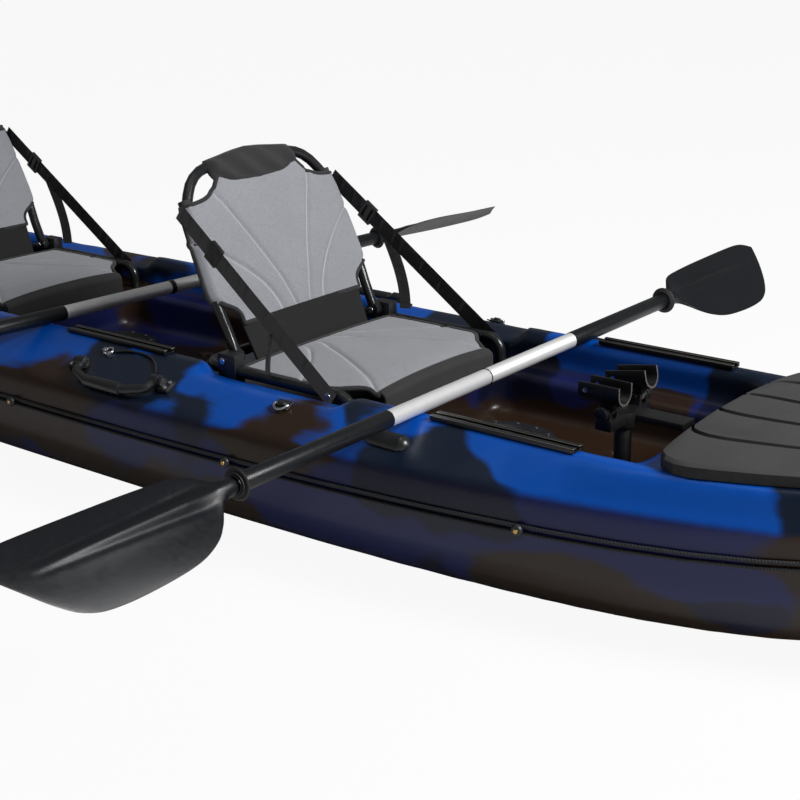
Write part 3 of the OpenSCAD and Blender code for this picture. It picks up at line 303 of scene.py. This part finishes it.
camouflage = Finish("camouflage_polyethylene", Roughness=0.3, Specular_IOR_Level=0.35)
ROYAL, SLATE = rgb(0, 74, 166), rgb(14, 26, 44)
# The violet is the royal blue in painted shade, used for the side below the shoulder.
SHADED_VIOLET, UMBER = rgb(25, 31, 80), rgb(42, 28, 18)
SEED = (6.6, 9.2, 0.0)
sway = camouflage.noise(3.4, 3.0, camouflage.place(shift=SEED))
drift = camouflage.node("ShaderNodeVectorMath", {"operation": "SCALE"}, {0: sway, "Scale": 0.3})
still = camouflage.place((1, 1, 1.4), shift=SEED)
flow = camouflage.node("ShaderNodeVectorMath", {"operation": "ADD"}, {0: still, 1: drift})
height = camouflage.node("ShaderNodeSeparateXYZ", None, [camouflage.place()], output=2)
# Below the shoulder the side is painted in shade; umber patches also come a little more often there.
shaded_low_side = 1 - height.step(0.240, 0.256)
feather = camouflage.noise(30.0, 4.0, camouflage.place((0.3, 1, 1))) * 0.06 - 0.03
dark_patch = (camouflage.noise(3.0, 1.5, flow) + feather).step(0.545, 0.59)
earth_flow = camouflage.node("ShaderNodeMapping", None, {"Vector": flow, "Location": (7.3, 2.1, 0.4)})
earth_patch = (camouflage.noise(2.4, 1.5, earth_flow) + feather + shaded_low_side * 0.08).step(0.565, 0.615)
# Painted shade: on the side below the shoulder, royal blue turns violet and slate turns darker.
body = camouflage.mix(shaded_low_side, ROYAL, SHADED_VIOLET)
body = camouflage.mix(dark_patch, body, camouflage.mix(shaded_low_side, SLATE, rgb(17, 20, 44)))
body = camouflage.mix(earth_patch, body, UMBER)
camouflage.paint(Base_Color=body, Roughness=camouflage.noise(60.0, 5.0) * 0.14 + 0.24)
camouflage.bump(camouflage.noise(420.0, 3.0), 0.0004, 0.5)

bm = merged_copy("hull_shell")
outer_skin(bm)
hull = stand("kayak_hull", mesh_of(bm, "kayak_hull"), camouflage)
remesh = hull.modifiers.new("round", "REMESH")
remesh.mode, remesh.voxel_size, remesh.use_smooth_shade = "VOXEL", VOXEL, True
ease = hull.modifiers.new("ease", "SMOOTH")
ease.factor, ease.iterations = 0.5, ROUNDING
baked(hull)
hull.data.materials.clear()
hull.data.materials.append(camouflage.material)
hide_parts("hull_shell")
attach(hull, "hull")


# Moulded black fittings
# Handles, mounts, hatch rings, brackets and the rod holder are injection-moulded nylon, screwed to the deck.
# Each is the CAD solid with its edges broken, as a mould leaves them.
def moulded(name, light, dark, rough, grain=300.0):
    made = Finish(name)
    cloud = made.noise(14.0, 4.0)
    made.paint(Base_Color=made.mix(cloud, dark, light), Roughness=made.noise(90.0, 4.0) * 0.2 + rough)
    return made.bump(made.noise(grain, 2.0), 0.0003, 0.6)


def eased(node, body, finish, edge=0.001, sharp=32, steps=2):
    """A CAD node with its sharp edges bevelled, standing in for the node on its body."""
    bm = merged_copy(node)
    if edge:
        bmesh.ops.dissolve_limit(bm, angle_limit=math.radians(1), verts=bm.verts, edges=bm.edges)
    corners = [e for e in bm.edges if len(e.link_faces) == 2 and e.calc_face_angle(0) > math.radians(sharp)]
    if edge:
        bmesh.ops.bevel(
            bm, geom=corners, offset=edge, offset_type="OFFSET", affect="EDGES",
            segments=steps, profile=0.5, material=-1, clamp_overlap=True,
        )
    else:
        bmesh.ops.join_triangles(
            bm, faces=bm.faces, angle_face_threshold=math.radians(40), angle_shape_threshold=math.radians(150)
        )
    for face in bm.faces:
        face.smooth = True
    mesh = mesh_of(bm, node + "_eased")
    mesh.set_sharp_from_angle(angle=math.radians(sharp))
    piece = stand(node + "_eased", mesh, finish)
    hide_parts(node)
    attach(piece, body)
    return piece


nylon = moulded("black_nylon", rgb(36, 37, 40), rgb(24, 25, 27), 0.34)
gloss_nylon = moulded("gloss_nylon", rgb(36, 37, 39), rgb(24, 25, 26), 0.2)
for node in (
    "bow_hatch_rim", "bow_hatch_hinge", "front_hatch_ring", "rear_hatch_ring", "seat_brackets",
    "handle_mounts", "end_handles", "drain_plug", "ring_bases", "trim_buttons",
):
    eased(node, "hull", nylon)
for end in ("front", "rear"):
    eased(end + "_hatch_lid", end + "_hatch_cover", nylon)
    eased(end + "_seat_buckles", end + "_seat_back", gloss_nylon)
for side in ("starboard", "port"):
    eased(side + "_handle", side + "_carry_handle", gloss_nylon, sharp=45)
rubber = moulded("black_rubber", rgb(36, 36, 37), rgb(26, 26, 27), 0.55, 500.0)
eased("paddle_rests", "hull", gloss_nylon)


# Bow hatch lid
# A vacuum-formed grey lid with raised planks, hinged at the bow on a pin. Its skirt and the grooves between
# the planks are painted in shade, a near-black copy of the grey.
GROOVES, GROOVE_HALF = (0.2, 0.6), 0.03


def marked(piece, finish, chosen):
    """Gives a second finish to the faces of a piece that chosen picks."""
    piece.data.materials.append(finish.material)
    for face in piece.data.polygons:
        if chosen(face):
            face.material_index = len(piece.data.materials) - 1
    return piece


lid_plastic = moulded("lid_plastic", rgb(66, 66, 66), rgb(54, 54, 55), 0.5, 700.0)
lid_shade = moulded("lid_shade", rgb(20, 20, 21), rgb(13, 13, 14), 0.6, 700.0)
half_width = {}
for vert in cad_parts["bow_hatch_lid"].data.vertices:
    row = round(vert.co.x, 3)
    half_width[row] = max(abs(vert.co.y), half_width.get(row, 0.0))


# Steep faces, such as the skirt, and faces close to a groove take the painted shade.
def is_lid_shade(face):
    near = sorted(half_width, key=lambda row: abs(row - face.center.x))[:2]
    share = abs(face.center.y) / (sum(half_width[row] for row in near) / 2)
    return face.normal.z < 0.7 or min(abs(share - groove) for groove in GROOVES) < GROOVE_HALF


marked(eased("bow_hatch_lid", "bow_lid", lid_plastic, edge=0.003, sharp=20, steps=3), lid_shade, is_lid_shade)


# Bright metal
# Stainless screws, bolts, tie rings and the keeper's clip, and brass screws in the trim buttons.
def drawn_metal(name, colour, rough, grain=240.0):
    made = Finish(name, Base_Color=colour, Metallic=1.0)
    made.paint(Roughness=made.noise(grain, 3.0) * 0.15 + rough)
    return made


steel = drawn_metal("stainless_steel", rgb(205, 207, 210), 0.16)
brass = drawn_metal("brass", rgb(196, 160, 96), 0.22)
for node in (
    "bow_hatch_pin", "hatch_screws_set", "seat_bolts", "track_screws", "handle_screws", "keeper_clip",
):
    eased(node, "hull", steel, edge=0.0006)
eased("trim_screws", "hull", brass, edge=0.0005)
for side in ("starboard", "port"):
    eased(side + "_ring", side + "_tie_ring", steel, edge=0.0003, sharp=60)


# Gear tracks
# Extruded alloy channels, anodised black, with a pale painted highlight along the top bevels of their lips.
anodised = Finish("black_anodised", Metallic=0.9)
anodised.paint(
    Base_Color=anodised.mix(anodised.noise(20.0), rgb(50, 51, 54), rgb(66, 67, 70)),
    Roughness=anodised.noise(200.0, 3.0, anodised.place((0.05, 1, 1))) * 0.2 + 0.25,
)
# A pale metal that paints the highlight on the lips.
painted_lip_highlight = drawn_metal("painted_lip_highlight", rgb(150, 143, 132), 0.28)


for node in ("front_gear_tracks", "rear_gear_tracks"):
    track_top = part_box(node)[1][2]
    track = eased(node, "hull", anodised, edge=0.0009)
    # The top bevel faces of each lip take the painted highlight.
    marked(track, painted_lip_highlight, lambda face: face.center.z > track_top - 0.0009 and 0.2 < face.normal.z < 0.97)


# Rod holder
# A black nylon post with a swivel head and two open troughs, one tilted up. Its nylon is a darker copy, as
# painted shade in the well, and the front lips of the troughs carry a pale painted highlight.
# A darker copy of the black nylon: painted shade.
shaded_rod_nylon = moulded("shaded_rod_nylon", rgb(18, 18, 19), rgb(11, 11, 12), 0.34)
# A pale nylon that paints the highlight on the trough lips.
painted_rim_highlight = moulded("rim_highlight_nylon", rgb(104, 101, 96), rgb(70, 68, 65), 0.3)
eased("rod_post", "hull", shaded_rod_nylon)
eased("rod_head", "rod_holder_head", shaded_rod_nylon)
eased("cradle_pins", "rod_holder_head", gloss_nylon)
for side in ("starboard", "port"):
    cradle = eased(side + "_cradle", side + "_rod_cradle", shaded_rod_nylon, edge=0.0012, steps=3)
    # The front faces of each trough take the pale painted highlight.
    marked(cradle, painted_rim_highlight, lambda face: face.normal.x > 0.6)


# Side trim and keeper
# Braided black cord: two lines along each side under the buttons, and a short elastic keeper for a paddle.
braid = Finish("braided_cord", Roughness=0.75)
plait = braid.weave(90.0, 2.0)
braid.paint(Base_Color=braid.mix(plait, rgb(18, 19, 22), rgb(38, 40, 44)))
braid.bump(plait, 0.0006)
for node in ("starboard_trim", "port_trim"):
    eased(node, "hull", braid, edge=0.0002, sharp=60)
KEEPER = (
    (-0.062, 0.318), (-0.048, 0.313), (-0.032, 0.309), (-0.014, 0.307), (0.006, 0.307),
    (0.024, 0.309), (0.042, 0.314), (0.058, 0.323), (0.072, 0.334), (0.084, 0.345),
)
KEEPER_D = 0.005
ring_verts = [v.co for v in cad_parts["keeper_cord"].data.vertices]
knots = []
for x, y in KEEPER:
    near = sorted(ring_verts, key=lambda v: (v.x - x) ** 2 + (v.y + y) ** 2)[:8]
    knots.append(Vector((x, -y, (max(v.z for v in near) + min(v.z for v in near)) / 2)))
bends = bpy.data.curves.new("keeper_cord_line", "CURVE")
bends.dimensions = "3D"
bends.bevel_depth, bends.bevel_resolution, bends.use_fill_caps = KEEPER_D / 2, 4, True
lay = bends.splines.new("POLY")
lay.points.add(2 * len(knots) - 2)
for i, point in enumerate(lay.points):
    a, b = knots[i // 2], knots[(i + 1) // 2]
    point.co = (*((a + b) / 2), 1)
keeper = stand("keeper_cord_line", bends, braid)
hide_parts("keeper_cord")
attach(keeper, "hull")


# Seat frames
# Bent alloy tube, powder-coated black: a U-shaped base with front legs, and an arched back that folds on two
# bolts.
FRONT_SEAT_X, SEAT_PITCH = 0.190, 1.122
SEATS = (("front", FRONT_SEAT_X), ("rear", FRONT_SEAT_X - SEAT_PITCH))
SEAT_DECK, RAIL_H = 0.235, 0.055
LEAN = math.radians(24)
coat = moulded("powder_coat", rgb(34, 35, 37), rgb(22, 23, 24), 0.12, 900.0)
for end, seat_x in SEATS:
    eased(end + "_seat_base_frame", "hull", coat, sharp=50)
    eased(end + "_seat_back_frame", end + "_seat_back", coat, sharp=50)


def lean_to(seat_x, out, across, up):
    """A point of a seat back: out from its plane, across the boat and up along its lean."""
    return Vector((
        seat_x + out * math.cos(LEAN) - up * math.sin(LEAN),
        across,
        SEAT_DECK + RAIL_H + out * math.sin(LEAN) + up * math.cos(LEAN),
    ))


# Seat slings
# Grey spacer mesh over thin foam, sewn in a fan of channels and bound in black tape; the head pad, the lower
# band and the front band are black nylon cloth.
def mix(a, b, t):
    return a + (b - a) * t


def along(table, x):
    """A value read off a table of (place, value) pairs on a smooth curve through them."""
    last = len(table) - 1
    x = min(max(x, table[0][0]), table[last][0])
    k = max(i for i in range(last) if table[i][0] <= x)

    def slope(i):
        before, after = table[max(i - 1, 0)], table[min(i + 1, last)]
        return (after[1] - before[1]) / (after[0] - before[0])

    (x0, v0), (x1, v1) = table[k], table[k + 1]
    span, t = x1 - x0, (x - x0) / (x1 - x0)
    return (
        v0 * (1 + 2 * t) * (1 - t) ** 2
        + v1 * t * t * (3 - 2 * t)
        + span * (slope(k) * t * (1 - t) ** 2 - slope(k + 1) * t * t * (1 - t))
    )


spacer = Finish("spacer_mesh", Roughness=0.85, Sheen_Weight=0.25, Sheen_Roughness=0.5)
cells = {"Vector": spacer.place(), "Scale": 420.0}
knit = spacer.node("ShaderNodeTexVoronoi", {"feature": "DISTANCE_TO_EDGE"}, cells)
# A pale painted highlight runs along each sewn channel, its strength read from a mesh attribute.
stitch = spacer.node("ShaderNodeAttribute", {"attribute_name": "stitch"}, output=2)
cloth_tone = spacer.mix(spacer.noise(9.0, 4.0), rgb(134, 136, 141), rgb(152, 154, 159))
cloth_tone = spacer.mix(knit.step(0.0, 0.12), rgb(108, 110, 115), cloth_tone)
spacer.paint(Base_Color=spacer.mix(stitch, cloth_tone, rgb(196, 197, 200)))
spacer.bump(knit, 0.0008, 0.5)
pack_cloth = Finish("black_pack_cloth", Roughness=0.8, Sheen_Weight=0.2)
pack_cloth.paint(Base_Color=pack_cloth.mix(pack_cloth.noise(30.0, 5.0), rgb(18, 18, 20), rgb(33, 32, 34)))
# The lower band is a darker copy of the black cloth: painted shade.
shaded_band_cloth = Finish("shaded_pack_cloth", Roughness=0.85)
shaded_band_cloth.paint(Base_Color=shaded_band_cloth.mix(shaded_band_cloth.noise(30.0, 5.0), rgb(9, 9, 10), rgb(17, 17, 18)))
for cloth in (pack_cloth, shaded_band_cloth):
    cloth.bump(cloth.weave(260.0), 0.0005, 0.6)

PANEL_GRID = (150, 96)
BACK_LOW = 0.079
BACK_TOP = (
    (0.0, 0.362), (0.2, 0.3635), (0.38, 0.369), (0.47, 0.377), (0.512, 0.379), (0.545, 0.371), (0.60, 0.357),
    (0.67, 0.346), (0.76, 0.338), (0.88, 0.334), (1.0, 0.333),
)
BACK_HALF = (
    (0.079, 0.178), (0.098, 0.179), (0.112, 0.189), (0.125, 0.211), (0.137, 0.2285), (0.148, 0.2335),
    (0.19, 0.2335), (0.25, 0.2305), (0.30, 0.2275), (0.335, 0.2225), (0.4, 0.2225),
)
BACK_CROWN, PANEL_T = 0.008, 0.005
CHANNEL, CHANNEL_W = 0.0055, 0.0062
TUBE_WRAP, WRAP_DEPTH = 0.0135, 0.016
FAN_RUN = 0.266


def fan_gap(y, run, inner_to, outer_to):
    """Distance from a point to the nearest sewn channel of a fan that opens as run goes from 0 to 1."""
    inner = mix(0.021, inner_to, run**1.25)
    outer = mix(0.064, outer_to, run**1.7)
    return min(abs(abs(y) - inner) * 0.9, abs(abs(y) - outer) * 0.7)


def panel(name, surface, thickness, finish):
    """A sewn panel on a fine grid; surface(u, v) gives a point and its painted seam highlight."""
    bm = bmesh.new()
    bmesh.ops.create_grid(bm, x_segments=PANEL_GRID[0], y_segments=PANEL_GRID[1], size=1.0)
    seam = bm.verts.layers.float.new("stitch")
    for vert in bm.verts:
        vert.co, vert[seam] = surface(vert.co.x, (vert.co.y + 1) / 2)
    for face in bm.faces:
        face.smooth = True
    bmesh.ops.recalc_face_normals(bm, faces=bm.faces)
    piece = stand(name, mesh_of(bm, name), finish)
    wall = piece.modifiers.new("thickness", "SOLIDIFY")
    wall.thickness, wall.offset = thickness, 0.0
    return baked(piece)


def binding(name, points, radius, finish, closed=False):
    """Tape or bar along a line of points."""
    curve = bpy.data.curves.new(name, "CURVE")
    curve.dimensions = "3D"
    curve.bevel_depth, curve.bevel_resolution, curve.use_fill_caps = radius, 3, True
    line = curve.splines.new("POLY")
    line.points.add(len(points) - 1)
    line.use_cyclic_u = closed
    for place, point in zip(line.points, points):
        place.co = (*point, 1)
    traced = stand(name + "_line", curve)
    mesh = bpy.data.meshes.new_from_object(traced.evaluated_get(bpy.context.evaluated_depsgraph_get()))
    bpy.data.objects.remove(traced)
    mesh.name = name
    mesh.shade_smooth()
    piece = stand(name, mesh)
    mesh.materials.clear()
    mesh.materials.append(finish.material)
    return piece


def back_surface(seat_x):
    def at(u, v):
        up = mix(BACK_LOW, along(BACK_TOP, abs(u)), v)
        across = u * along(BACK_HALF, up)
        gap = fan_gap(across, (up - BACK_LOW) / FAN_RUN, 0.14, 0.385)
        groove = math.exp(-((gap / CHANNEL_W) ** 2))
        edge = 1 - abs(u) ** 2.4
        wrap = max(0.0, 1 - (1 - abs(u)) * along(BACK_HALF, up) / TUBE_WRAP) ** 2 if up > 0.13 else 0.0
        crown = BACK_CROWN * edge * min(1, 0.35 + 3 * v, 0.35 + 4 * (1 - v))
        out = TUBE_WRAP + crown - CHANNEL * groove - WRAP_DEPTH * wrap
        # The second value is the strength of the painted highlight along the nearest channel.
        return lean_to(seat_x, out, across, up), 0.55 * math.exp(-((gap / 0.0018) ** 2))
    return at


def outline(surface, steps=60):
    """Points round the edge of a panel."""
    ticks = [i / steps for i in range(steps)]
    edge = [(2 * t - 1, 0) for t in ticks] + [(1, t) for t in ticks]
    edge += [(1 - 2 * t, 1) for t in ticks] + [(-1, 1 - t) for t in ticks]
    return [surface(u, v)[0] for u, v in edge]


ARCH_TOP = ((0.0, 0.4158), (0.04, 0.4128), (0.08, 0.4075), (0.12, 0.4023), (0.14, 0.3979), (0.16, 0.3889))
PAD_HALF, PAD_OVER, PAD_LAP = 0.126, 0.0145, 0.008


def head_pad(name, seat_x):
    """The black lens that wraps the top of the arch."""
    bm = bmesh.new()
    bmesh.ops.create_uvsphere(bm, u_segments=64, v_segments=40, radius=1.0)
    for vert in bm.verts:
        across, side, rise = vert.co.z, vert.co.x, vert.co.y
        reach = max(1e-4, math.sqrt(max(0.0, 1 - across * across)))
        y = PAD_HALF * across
        top = along(ARCH_TOP, abs(y)) + PAD_OVER
        low = along(BACK_TOP, min(abs(y) / 0.2225, 0.512)) - PAD_LAP
        share = (rise / reach + 1) / 2
        up = mix(low, top, share)
        fold = 0.0034 * math.sin(90 * y + 75 * up) * min(1, 2 * reach) * min(1, 5 * share * (1 - share))
        swell = side / reach * mix(0.012, 0.0165, share) * min(1, 2.2 * reach)
        out = swell + 0.014 * (1 - share) + fold
        vert.co = lean_to(seat_x, out, y, up)
    bmesh.ops.remove_doubles(bm, verts=bm.verts, dist=1e-5)
    bmesh.ops.recalc_face_normals(bm, faces=bm.faces)
    for face in bm.faces:
        face.smooth = True
    return stand(name, mesh_of(bm, name), pack_cloth)


def band_surface(seat_x):
    def at(u, v):
        up = mix(0.0, BACK_LOW + 0.004, v)
        across = u * mix(0.172, 0.179, v)
        return lean_to(seat_x, 0.006 + 0.014 * (1 - abs(u) ** 3) * (0.4 + 0.6 * v), across, up), 0.0
    return at


BASE_REAR, BASE_FRONT = 0.022, 0.322
BASE_HALF = (
    (0.0, 0.224), (0.014, 0.229), (0.22, 0.229), (0.238, 0.222), (0.252, 0.206), (0.264, 0.190),
    (0.28, 0.179), (0.30, 0.175), (0.34, 0.174),
)
BASE_CROWN = 0.009


def base_surface(seat_x):
    def at(u, v):
        fore = mix(BASE_REAR, BASE_FRONT, v)
        across = u * along(BASE_HALF, fore - BASE_REAR)
        gap = fan_gap(across, v, 0.18, 0.60)
        groove = math.exp(-((gap / CHANNEL_W) ** 2))
        top = RAIL_H + 0.004 + BASE_CROWN * (1 - abs(u) ** 2.4) * min(1, 0.4 + 5 * v)
        dip = 0.010 * max(0, (v - 0.8) / 0.2) ** 2
        height = SEAT_DECK + top - dip - CHANNEL * groove * min(1, 5 * v)
        # The second value is the strength of the painted highlight along the nearest channel.
        return Vector((seat_x + fore, across, height)), 0.8 * math.exp(-((gap / 0.0022) ** 2)) * min(1, 8 * v)
    return at


def front_band_surface(seat_x):
    def at(u, v):
        turn = min(1.0, v / 0.35)
        fore = BASE_FRONT - 0.002 + 0.016 * math.sin(turn * math.pi / 2)
        drop = 0.008 + 0.012 * (1 - math.cos(turn * math.pi / 2)) + 0.030 * max(0, (v - 0.35) / 0.65)
        crown = BASE_CROWN * (1 - abs(u) ** 2.4) * (1 - v)
        return Vector((seat_x + fore, u * 0.174, SEAT_DECK + RAIL_H + 0.003 + crown - drop)), 0.0
    return at


for end, seat_x in SEATS:
    on_back = end + "_seat_back"
    surface = back_surface(seat_x)
    back = panel(end + "_back_panel", surface, PANEL_T, spacer)
    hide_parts(end + "_seat_back_sling")
    trim_tape = binding(end + "_back_binding", outline(surface), 0.0048, pack_cloth, closed=True)
    pad = head_pad(end + "_head_pad", seat_x)
    band = panel(end + "_back_band", band_surface(seat_x), 0.006, shaded_band_cloth)
    for piece in (back, trim_tape, pad, band):
        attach(piece, on_back)
    surface = base_surface(seat_x)
    base = panel(end + "_base_panel", surface, PANEL_T, spacer)
    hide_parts(end + "_seat_base_sling")
    base_tape = binding(end + "_base_binding", outline(surface), 0.0052, pack_cloth, closed=True)
    apron = panel(end + "_front_band", front_band_surface(seat_x), 0.005, pack_cloth)
    for piece in (base, base_tape, apron):
        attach(piece, "hull")


# Seat straps
# Flat black webbing runs from each side of the back to a bolt on the rail, with a buckle and a loose tail.
STRAP_W, STRAP_T = 0.036, 0.0024
STRAP_LAP, LOOP_Y, LOOP_R = 0.012, 0.2085, 0.0135
TAIL_W = 0.024
TAILS = {
    "starboard": (0.36, 0.085, -0.01, Vector((0.9, 0.3, 0))),
    "port": (0.65, 0.16, 0.045, Vector((-0.5, 0.85, 0))),
}
STRAP_FOOT_Y, STRAP_TOP_Y = 0.2553, 0.2303
STRAP_TOP, STRAP_FOOT = 0.328, 0.266
webbing = Finish("black_webbing", Roughness=0.7, Sheen_Weight=0.15)
twill = webbing.weave(160.0)
webbing.paint(Base_Color=webbing.mix(twill, rgb(20, 20, 22), rgb(40, 40, 43)))
webbing.bump(twill, 0.0006, 0.7)


def ribbon(name, points, width, thickness, across):
    """Webbing laid along points, its width at right angles to them in the plane that faces across."""
    bm = bmesh.new()
    rails = []
    for i, point in enumerate(points):
        ahead = points[min(i + 1, len(points) - 1)] - points[max(i - 1, 0)]
        wide = ahead.cross(across).normalized() * width / 2
        rails.append([bm.verts.new(point + wide), bm.verts.new(point - wide)])
    for (a, b), (c, d) in zip(rails, rails[1:]):
        bm.faces.new((a, b, d, c)).smooth = True
    bmesh.ops.solidify(bm, geom=bm.faces, thickness=thickness)
    bmesh.ops.recalc_face_normals(bm, faces=bm.faces)
    return stand(name, mesh_of(bm, name), webbing)


for end, seat_x in SEATS:
    for side, sign in (("starboard", -1), ("port", 1)):
        top = lean_to(seat_x, 0, sign * STRAP_TOP_Y, STRAP_TOP)
        foot = Vector((seat_x + STRAP_FOOT, sign * STRAP_FOOT_Y, SEAT_DECK + RAIL_H))
        over = (top - foot).normalized() * STRAP_LAP
        run = [foot - over + (top + over - foot) * (i / 40) for i in range(41)]
        strap = ribbon(f"{end}_{side}_strap", run, STRAP_W, STRAP_T, Vector((0, 1, 0)))
        if side == "port":
            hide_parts(end + "_seat_straps")
        tail_at, length, sway_x, facing = TAILS[side]
        start = foot + (top - foot) * tail_at + Vector((0, sign * 0.006, -0.012))
        drops = [i / 20 for i in range(21)]
        hang = [start + Vector((sway_x * math.sin(1.7 * t), sign * 0.004 * t, -length * t)) for t in drops]
        tail = ribbon(f"{end}_{side}_strap_tail", hang, TAIL_W, STRAP_T, facing)
        for piece in (strap, tail):
            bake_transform(piece)
        rise = (lean_to(0, 0, 0, 1) - lean_to(0, 0, 0, 0)) * STRAP_W / 2
        tube = lean_to(seat_x, 0, sign * LOOP_Y, STRAP_TOP)
        wound = [tube + rise * share for share in (-1, -0.9, 0.9, 1)]
        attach(binding(f"{end}_{side}_strap_loop", wound, LOOP_R, webbing), end + "_seat_back")


# Paddles
# Each is two lengths of drawn alloy tube that plug together, with black grip sleeves, rubber drip rings
# and moulded nylon blades with a raised spine.
blade_nylon = moulded("blade_nylon", rgb(17, 19, 24), rgb(12, 14, 17), 0.25, 800.0)
blade_nylon.paint(Specular_IOR_Level=0.3)
bare_alloy = drawn_metal("bare_alloy", rgb(246, 246, 246), 0.32, 30.0)
bare_alloy.paint(Metallic=0.55)
sleeve = moulded("grip_sleeve", rgb(22, 24, 27), rgb(15, 16, 19), 0.22, 900.0)
sleeve.paint(Specular_IOR_Level=0.35)
BRIGHT = 0.290
SPINE_H, SPINE_W = 0.0055, 0.011
SPINE_FROM, SPINE_TO = 0.12, 0.84


def spined(blade, middle, line):
    """Raises a tapering spine between two grooves along the upper face of a blade."""
    places = [v.co - middle for v in blade.data.vertices]
    reach = [abs(place.dot(line)) for place in places]
    neck, tip = min(reach), max(reach)
    side = line.cross(Vector((0, 0, 1)))
    wide = [place for place, s in zip(places, reach) if s > mix(neck, tip, 0.5)]
    tilt = 0.5 * math.atan2(
        2 * sum(w.dot(side) * w.z for w in wide), sum(w.dot(side) ** 2 - w.z**2 for w in wide)
    )
    across = side * math.cos(tilt) + Vector((0, 0, math.sin(tilt)))
    up = across.cross(line)
    up = up if up.z > 0 else -up
    facing = [v.normal.dot(up) for v in blade.data.vertices]
    for vert, place, s, turned in zip(blade.data.vertices, places, reach, facing):
        t = (s - neck) / (tip - neck) / SPINE_TO
        if not SPINE_FROM < t < 1 or turned < 0.4:
            continue
        half = mix(SPINE_W, 0.45 * SPINE_W, t)
        off = abs(place.dot(across)) / half
        shape = math.exp(-(off**2)) - 0.55 * math.exp(-(((off - 1.9) / 0.7) ** 2))
        vert.co += up * (SPINE_H * (1 - t) ** 0.6 * min(1, (t - SPINE_FROM) / 0.15) * shape)


JOINT_BAND = {"front": 0.002, "rear": 0.012}
JOINT_R = 0.0164
PADDLES = (
    ("front", Vector((0.692, -0.080, 0.3263)), 0.0),
    ("rear", Vector((-0.283, 0.049, 0.3263)), math.radians(6)),
)
for end, middle, turn in PADDLES:
    line = Vector((math.sin(turn), math.cos(turn), 0))
    for half in ("near", "far"):
        body = f"{end}_paddle_{half}_half"
        shaft = eased(f"{end}_paddle_{half}_shaft", body, bare_alloy, edge=0.0004, sharp=40)
        shaft.data.materials.append(sleeve.material)
        for face in shaft.data.polygons:
            face.material_index = int(abs((face.center - middle).dot(line)) > BRIGHT - 0.0005)
        blade = eased(f"{end}_paddle_{half}_blade", body, blade_nylon, edge=0.0, sharp=75)
        round_off = blade.modifiers.new("round", "SUBSURF")
        round_off.levels = round_off.render_levels = 3
        relax = blade.modifiers.new("relax", "SMOOTH")
        relax.factor, relax.iterations = 0.5, 10
        spined(baked(blade), middle, line)
        eased(f"{end}_paddle_{half}_ring", body, rubber, edge=0.0008)
    collar = line * JOINT_BAND[end] / 2
    joint = binding(end + "_paddle_joint", [middle - collar, middle + collar], JOINT_R, sleeve)
    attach(joint, end + "_paddle_near_half")
